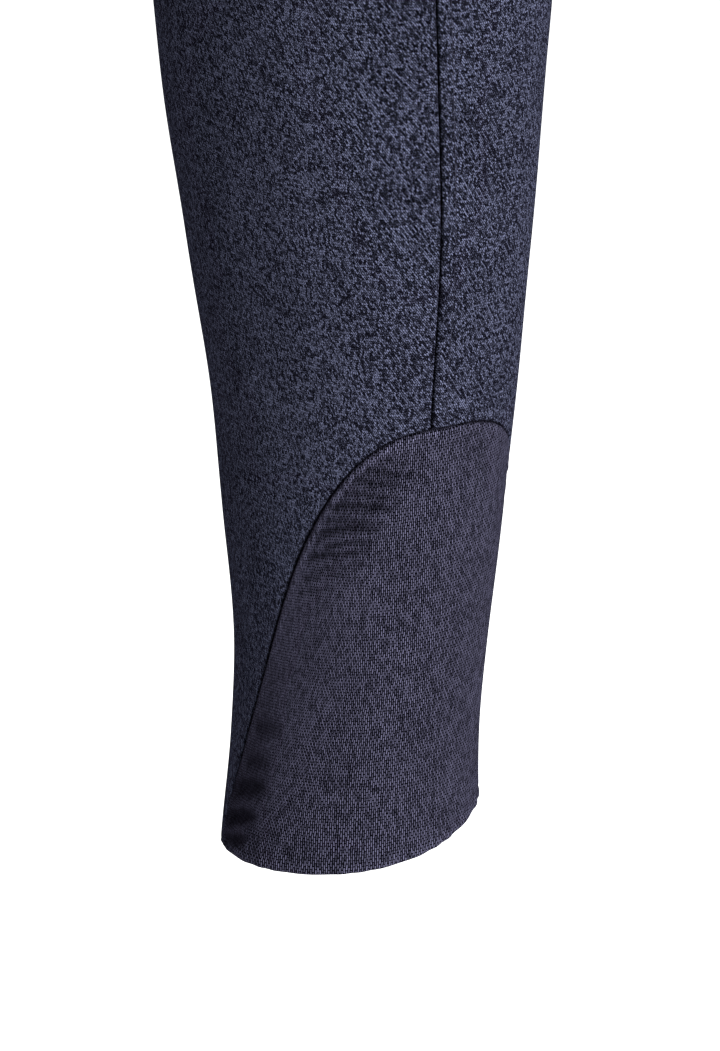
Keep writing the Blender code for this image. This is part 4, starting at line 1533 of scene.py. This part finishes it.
@dataclass(frozen=True)
class Fly:
    """The closed fly: the flap on the right front, and the zip behind it.

    Attributes:
        length: about how long the fly is, for the rows of its meshes.
        row_spacing: of its meshes away from the edges.
        edge_calm: how near a front's middle edge, in degrees, the cloth starts to face straight ahead.
        flap_end: the height of the flap's lowest point.
        flap_reach, flap_past, flap_foot: how far round the flap runs, in degrees from the fronts' middle
            edges: to the right, to the left and to the right at its foot.
        flap_width, past_width, past_spacing: the flap's width on the right and on the left, and the spacing
            of its columns there.
        corner_height: over which its outer edge rounds in to the foot.
        flap_lift, flap_wall: its gap above the fronts and its thickness.
        flap_round, flap_round_reach: how far its edges are rounded away, and from how far.
        stitch_inset, stitch_press, stitch_width: where its topstitching is, from its outer edge, and the
            depth and half the width of the groove there.
        front_wall: the fronts' thickness.
        tape_gap, tape_wall: the zip tapes' gap behind the fronts and their thickness.
        tape_reach: how far round they run, in degrees.
        tooth_pitch, tooth_size, tooth_bevel: of the moulded chain.
        tooth_side, tooth_rise: how far a tooth's middle stands to its side, and out of the tape, as shares of
            its width and its thickness.
        chain_start, chain_stop: the height of the first tooth, and how far below the band the last one is.
    """

    length: float = 0.13
    row_spacing: float = 0.0024
    edge_calm: float = 2.5
    flap_end: float = 0.7130
    flap_reach: float = 16.0
    flap_past: float = 2.2
    flap_foot: float = 4.6
    flap_width: float = 0.034
    past_width: float = 0.0046
    past_spacing: float = 0.0010
    corner_height: float = 0.036
    flap_lift: float = 0.0006
    flap_wall: float = 0.0012
    flap_round: float = 0.0005
    flap_round_reach: float = 0.0011
    stitch_inset: float = 0.0034
    stitch_press: float = 0.00014
    stitch_width: float = 0.0006
    front_wall: float = 0.0015
    tape_gap: float = 0.0006
    tape_wall: float = 0.0006
    tape_reach: float = 4.6
    tooth_pitch: float = 0.0016
    tooth_size: tuple[float, float, float] = (0.0024, 0.0011, 0.0008)
    tooth_bevel: float = 0.0002
    tooth_side: float = 0.32
    tooth_rise: float = 0.6
    chain_start: float = 0.745
    chain_stop: float = 0.002

    def beside_middle(
        self, offset: np.ndarray, height: np.ndarray, sign: float
    ) -> tuple[np.ndarray, np.ndarray]:
        """Points on the fronts near the fly.

        Args:
            offset: degrees round from a front's middle edge.
            height: heights.
            sign: -1 on the right front and 1 on the left.

        Returns:
            The points and the directions out, which have no sideways part at the middle edge.
        """
        angle = offset - FORM.inner_angle(height, FORM.slit(height))
        point, out = FORM.surface(angle, height), FORM.outward(angle, height)
        out[..., 0] *= eased(offset / self.edge_calm)
        out /= np.linalg.norm(out, axis=-1, keepdims=True)
        turn = np.array([sign, 1.0, 1.0])
        return point * turn, out * turn

    def top_height(self, offset: np.ndarray) -> np.ndarray:
        """The height of the fronts' top edge at these offsets from the middle."""
        top = np.full(np.shape(offset), WAIST_HEIGHT - FORM.band_height)
        for _ in range(FITTINGS):
            top = FORM.panel_top(offset - FORM.inner_angle(top, FORM.slit(top)))
        return top

    def strip(
        self, right: np.ndarray, left: np.ndarray, foot: float, start: float
    ) -> tuple[np.ndarray, np.ndarray]:
        """A grid across the fly.

        Args:
            right: offsets on the right front, from the outer one inwards.
            left: offsets on the left front, outwards.
            foot: the outermost offset that the right side keeps at its foot.
            start: the height of the foot.

        Returns:
            The points and the directions out.
        """
        rows = crowded(self.length, self.row_spacing, EDGE_MM, EDGE_MM)[:, None]
        points, outs = [], []
        for offsets, sign in ((right, -1.0), (left, 1.0)):
            heights = start + rows * (self.top_height(offsets) - start)
            rise = np.clip((heights - start) / self.corner_height, 0.0, 1.0)
            full = foot + (self.flap_reach - foot) * np.sqrt(1.0 - (1.0 - rise) ** 2)
            narrowed = offsets * full / self.flap_reach if sign < 0 else offsets + 0.0 * heights
            point, out = self.beside_middle(narrowed, heights, sign)
            points.append(point)
            outs.append(out)
        return np.concatenate(points, axis=1), np.concatenate(outs, axis=1)

    def build_flap(self, cloth: bpy.types.Material, thread: bpy.types.Material) -> None:
        """Makes the flap of this cloth, stitched down with this thread."""
        right = self.flap_reach * (1.0 - crowded(self.flap_width, self.row_spacing, EDGE_MM, (0.0,)))
        left = self.flap_past * crowded(self.past_width, self.past_spacing, (0.0,), EDGE_MM[:5])
        base, out = self.strip(right, left, self.flap_foot, self.flap_end)
        edges = edges_of(base)
        shown = edges.first, edges.bottom
        round_off = np.max([rolled(edge, self.flap_round, self.flap_round_reach) for edge in shown], axis=0)
        pressed = groove(edges.first - self.stitch_inset, self.stitch_press, self.stitch_width)
        inner = base + self.flap_lift * out
        outer = inner + (self.flap_wall - round_off - pressed)[..., None] * out
        along = row_lengths(base)
        flat = np.stack([along, base[..., 2]], axis=-1) / MM
        # Painted shade along the flap's outer and lower edges.
        mark = 0.75 * painted_edge_shade(shown, 0.0003)
        flap = cloth_sheet("fly_flap_cloth", outer, inner, flat, mark, cloth)
        column = stitched_column(edges.first, self.stitch_inset)
        line, up = stitched_line(outer, column)[12:-6], stitched_line(out, column)[12:-6]
        stitches = StitchLine().lay("fly_topstitch", [(line, up)], thread)
        declare_sheet(flap, "fly_flap", cut_of(base))

    def one_tooth(self) -> SmallPiece:
        """One tooth of the chain: a bevelled block."""
        deselect_all()
        bpy.ops.mesh.primitive_cube_add(size=1.0)
        block = bpy.context.object
        bpy.ops.object.mode_set(mode="EDIT")
        bpy.ops.mesh.select_all(action="SELECT")
        bpy.ops.transform.resize(value=self.tooth_size)
        bpy.ops.mesh.bevel(offset=self.tooth_bevel, segments=1, affect="EDGES")
        bpy.ops.object.mode_set(mode="OBJECT")
        return taken_apart(block)

    def build_zip(self, tape: bpy.types.Material, chain: bpy.types.Material) -> None:
        """Makes the zip's tapes and, along the slit between the fronts, its chain."""
        offsets = self.tape_reach * np.linspace(1.0, 0.0, 5)
        base, out = self.strip(offsets, offsets[::-1], self.flap_reach, FORM.fly_end_height)
        outer = base - (self.front_wall + self.tape_gap) * out
        inner = outer - self.tape_wall * out
        along = row_lengths(base)
        flat = np.stack([along, base[..., 2]], axis=-1) / MM
        tapes = cloth_sheet("zip_tapes", outer, inner, flat, 0.0 * along, tape)
        top = float(self.top_height(np.array(0.0)))
        heights = np.arange(self.chain_start, top - self.chain_stop, self.tooth_pitch / 2)
        edge, up = self.beside_middle(np.zeros(len(heights)), heights, 1.0)
        depth = self.front_wall + self.tape_gap - self.tooth_rise * self.tooth_size[2]
        middle = edge * np.array([0.0, 1.0, 1.0]) - depth * up
        side = np.where(np.arange(len(heights)) % 2 == 0, 1.0, -1.0)
        middle[:, 0] = side * self.tooth_side * self.tooth_size[0]
        across = np.tile([1.0, 0.0, 0.0], (len(heights), 1))
        mesh = copied("zip_chain", self.one_tooth(), middle, (across, np.cross(up, across), up))
        teeth = new_object("zip_chain", mesh, chain)
        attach(teeth, BODY)
        declare_sheet(tapes, "fly_zip", cut_of(base))


@dataclass(frozen=True)
class ZipSlider:
    """The slider, drawn up to the top of the zip, with its pull lying flat below it.

    Attributes:
        body_radius, body_stretch, body_wall: half the body's width, how much taller it is, and its thickness.
        body_drop: its middle's distance below its top.
        body_rim, body_slope, body_sink: of the hollow in its face, as sink_top takes them.
        pull_size: the pull's width, length and thickness.
        pull_drop: its middle's distance below the body's top.
        pull_rim, pull_slope, pull_sink: of the hollow in its face.
        hole_drop, hole_radius: of the hole near its end.
        edge_round: how far the edges are rounded.
        depth, drop: its middle's distance behind the fronts' face, and its top's below the band.
    """

    body_radius: float = 0.0032
    body_stretch: float = 1.35
    body_wall: float = 0.0008
    body_drop: float = 0.0045
    body_rim: float = 0.0009
    body_slope: float = 0.0003
    body_sink: float = 0.0002
    pull_size: tuple[float, float, float] = (0.0036, 0.0150, 0.0007)
    pull_drop: float = 0.0155
    pull_rim: float = 0.0006
    pull_slope: float = 0.0002
    pull_sink: float = 0.00015
    hole_drop: float = 0.0212
    hole_radius: float = 0.0008
    edge_round: float = 0.0002
    depth: float = 0.0006
    drop: float = 0.0030

    def build_body(self) -> bpy.types.Object:
        """Makes the shield-shaped body."""
        place = (0.0, -self.body_drop, 0.0)
        deselect_all()
        bpy.ops.mesh.primitive_cylinder_add(
            vertices=32, radius=self.body_radius, depth=self.body_wall, location=place
        )
        body = bpy.context.object
        bpy.ops.object.mode_set(mode="EDIT")
        bpy.ops.mesh.select_all(action="SELECT")
        bpy.ops.transform.resize(value=(1.0, self.body_stretch, 1.0), center_override=place)
        sink_top(body, self.body_rim, self.body_slope, self.body_sink)
        return body

    def build_pull(self) -> bpy.types.Object:
        """Makes the pull, with a hole near its end."""
        place = (0.0, -self.pull_drop, 0.0)
        deselect_all()
        bpy.ops.mesh.primitive_cube_add(size=1.0, location=place)
        pull = bpy.context.object
        bpy.ops.object.mode_set(mode="EDIT")
        bpy.ops.mesh.select_all(action="SELECT")
        bpy.ops.transform.resize(value=self.pull_size, center_override=place)
        sink_top(pull, self.pull_rim, self.pull_slope, self.pull_sink)
        cut_hole(pull, (0.0, -self.hole_drop), self.hole_radius)
        return pull

    def build(self, fly: Fly, metal: bpy.types.Material) -> None:
        """Makes the slider of this metal, on this fly."""
        body, pull = self.build_body(), self.build_pull()
        for piece in (body, pull):
            soften_edges(piece, self.edge_round, 2)
        take_up(body, pull)
        bpy.ops.object.join()
        bpy.ops.object.transform_apply(location=True, rotation=True, scale=True)
        top = float(fly.top_height(np.array(0.0))) - self.drop
        edge, up = fly.beside_middle(np.array([0.0]), np.array([top]), 1.0)
        settle(body, edge[0] * np.array([0.0, 1.0, 1.0]) - self.depth * up[0], up[0])
        finished(body, "zip_slider_and_pull", metal, "zip_slider")


@dataclass(frozen=True)
class WaistButton:
    """The four-hole button on the band's upper end, its thread and its buttonhole.

    Attributes:
        share: its place round the waist, as the waistband's place takes it.
        radius, thickness: of the disc.
        edge_round: how far its edges are rounded.
        rim, dish, dish_slope: the flat rim's width, and how deep and over what width the middle sinks.
        hole_radius, hole_spacing: of its four holes.
        strand, strand_slip, strand_lift: the thread's thickness, how far each of a pair of strands lies to
            its side, and their height above the dish.
        buttonhole_half, buttonhole_shift: half its length, and how far inwards from the button its middle is.
        bar_width: how far the buttonhole's two stitched sides are apart.
        satin_pitch, satin_length, satin_thread: of the stitches round it.
    """

    share: float = 0.022
    radius: float = 0.0080
    thickness: float = 0.0026
    edge_round: float = 0.0004
    rim: float = 0.0018
    dish: float = 0.0007
    dish_slope: float = 0.0006
    hole_radius: float = 0.0009
    hole_spacing: float = 0.0030
    strand: float = 0.0006
    strand_slip: float = 0.0003
    strand_lift: float = 0.0002
    buttonhole_half: float = 0.0088
    buttonhole_shift: float = 0.0064
    bar_width: float = 0.0006
    satin_pitch: float = 0.0005
    satin_length: float = 0.0015
    satin_thread: float = 0.0004

    def build(self, band: Waistband, resin: bpy.types.Material, thread: bpy.types.Material) -> None:
        """Makes the button.

        Args:
            band: the waistband that it closes.
            resin: the button's finish.
            thread: the sewing thread.
        """
        deselect_all()
        bpy.ops.mesh.primitive_cylinder_add(vertices=72, radius=self.radius, depth=self.thickness)
        disc = bpy.context.object
        sink_top(disc, self.rim, self.dish_slope, self.dish)
        soften_edges(disc, self.edge_round, 4)
        half = self.hole_spacing / 2
        for x, y in ((-half, -half), (-half, half), (half, -half), (half, half)):
            cut_hole(disc, (x, y), self.hole_radius)
        shade(disc)
        point, out = band.place(np.array(2.0 + self.share), np.array(FORM.band_height / 2))
        middle = point + (SEAM_GAP + self.thickness / 2) * out
        settle(disc, middle, out)
        finished(disc, "waist_button_disc", resin, "waist_button")
        along = np.cross(out, [1.0, 0.0, 0.0])
        along /= np.linalg.norm(along)
        across = np.cross(along, out)
        reach = 1.4 * self.hole_spacing
        lines = []
        for x in (-half, half):
            for slip in (-self.strand_slip, self.strand_slip):
                lift = self.thickness / 2 - self.dish + self.strand_lift
                top = middle + lift * out + (x + slip) * across
                ends = np.array([top - reach / 2 * along, top + reach / 2 * along])
                lines.append((ends, np.array([out, out])))
        strands = StitchLine(pitch=reach, length=reach, thickness=self.strand)
        strands.lay("button_thread", lines, thread)
        self.sew_buttonhole(band, thread)

    def sew_buttonhole(self, band: Waistband, thread: bpy.types.Material) -> None:
        """Makes the satin stitches round the buttonhole, square to its edge."""
        straight = self.buttonhole_half - self.bar_width
        sides = np.arange(-straight, straight, self.satin_pitch)
        ends = np.radians(np.arange(-80.0, 81.0, 20.0))
        spine = np.concatenate([sides, 0.0 * ends + straight, sides, 0.0 * ends - straight])
        turns = np.concatenate([0.0 * sides + np.pi / 2, ends, 0.0 * sides - np.pi / 2, ends + np.pi])
        lines = []
        for middle, turn in zip(spine, turns):
            reach = self.bar_width / 2 + np.array([0.0, self.satin_length])
            across, up = middle + reach * math.cos(turn), reach * math.sin(turn)
            share = 2.0 + self.share - (self.buttonhole_shift - across) / HALF_WAIST
            lines.append(band.place(share, FORM.band_height / 2 - up))
        pitch = 0.9 * self.satin_length  # one stitch to a line
        satin = StitchLine(pitch=pitch, length=self.satin_length, thickness=self.satin_thread, sink=0.0)
        satin.lay("buttonhole_stitches", lines, thread)


@dataclass(frozen=True)
class Studio:
    """The pale floor, the soft light and the camera.

    Attributes:
        azimuth, elevation: the camera's direction, in degrees, from straight ahead of the wearer to the left.
        distance: from the camera to its target.
        target: what the camera looks at, on the left lower leg.
        focal_mm, sensor_mm: the camera's lens and the width of its sensor.
        floor_z, floor_size: of the floor.
        sky: the strength of the even white light all round.
        key_watts, key_size: the large soft light.
        key_right, key_toward, key_up: its place from the target: to the camera's right, towards the camera
            and upwards.
        paint: the floor's colour.
    """

    azimuth: float = 45.94
    elevation: float = 19.26
    distance: float = 2.3
    target: tuple[float, float, float] = (0.1432, 0.0212, -0.7977)
    focal_mm: float = 365.6
    sensor_mm: float = 36.0
    floor_z: float = -0.985
    floor_size: float = 16.0
    sky: float = 1.0
    key_watts: float = 112.0
    key_size: float = 1.2
    key_right: float = 1.15
    key_toward: float = 1.15
    key_up: float = 0.35
    paint: str = "#f4f4f5"

    def directions(self) -> tuple[Vector, Vector]:
        """The direction from the target to the camera, and the camera's right."""
        turn, tilt = math.radians(self.azimuth), math.radians(self.elevation)
        toward = Vector((math.sin(turn) * math.cos(tilt), -math.cos(turn) * math.cos(tilt), math.sin(tilt)))
        return toward, Vector((math.cos(turn), math.sin(turn), 0.0))

    def build_camera(self) -> None:
        """Sets the camera."""
        toward, _ = self.directions()
        lens = bpy.data.cameras.new("camera")
        lens.lens = self.focal_mm
        lens.sensor_width = self.sensor_mm
        lens.sensor_fit = "HORIZONTAL"
        camera = bpy.data.objects.new("camera", lens)
        camera.location = Vector(self.target) + self.distance * toward
        camera.rotation_euler = toward.to_track_quat("Z", "Y").to_euler()
        bpy.context.scene.collection.objects.link(camera)
        bpy.context.scene.camera = camera

    def build_floor(self) -> None:
        """Lays the floor."""
        deselect_all()
        bpy.ops.mesh.primitive_plane_add(size=self.floor_size, location=(0.0, 0.0, self.floor_z))
        floor = bpy.context.object
        floor.name = "floor"
        bpy.ops.object.transform_apply(location=True, rotation=True, scale=True)
        # Matt emulsion paint, rolled: pale and plain, so that nothing draws the eye from the cloth.
        material, _, shader = fresh_material("matt_white_paint", self.paint)
        shader.inputs["Base Color"].default_value = linear(self.paint)
        shader.inputs["Roughness"].default_value = 0.9
        shader.inputs["Specular IOR Level"].default_value = 0.2
        floor.data.materials.append(material)

    def build_lights(self) -> None:
        """Sets the even light all round and the soft key light."""
        world = bpy.data.worlds.new("white_sky")
        world.use_nodes = True
        sky = world.node_tree.nodes["Background"]
        sky.inputs["Color"].default_value = (1.0, 1.0, 1.0, 1.0)
        sky.inputs["Strength"].default_value = self.sky
        bpy.context.scene.world = world
        toward, right = self.directions()
        target = Vector(self.target)
        place = target + self.key_right * right + self.key_toward * toward + Vector((0.0, 0.0, self.key_up))
        light = bpy.data.lights.new("key", "AREA")
        light.shape = "SQUARE"
        light.size = self.key_size
        light.energy = self.key_watts
        lamp = bpy.data.objects.new("key", light)
        lamp.location = place
        lamp.rotation_euler = (place - target).to_track_quat("Z", "Y").to_euler()
        bpy.context.scene.collection.objects.link(lamp)

    def build(self) -> None:
        """Makes the studio."""
        self.build_camera()
        self.build_floor()
        self.build_lights()
        bpy.context.scene.view_settings.view_transform = "Standard"


def main() -> None:
    """Dresses the frame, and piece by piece."""
    logging.basicConfig(level=logging.INFO, format="%(message)s")
    Studio().build()
    twill, knit, thread = STRETCH_TWILL.material(), RIB_KNIT.material(), SEWING_THREAD.material()
    for side in Side:
        for is_front in (True, False):
            LegPanel(side, is_front).build(twill, thread)
        StretchCuff(side).build(knit)
    band = Waistband()
    band.build(twill, thread)
    fly = Fly()
    fly.build_flap(twill, thread)
    fly.build_zip(ZIP_TAPE.material(), CHAIN_ACETAL.material())
    ZipSlider().build(fly, SLIDER_ZINC.material())
    WaistButton().build(band, BUTTON_RESIN.material(), thread)


if __name__ == "__main__":
    main()
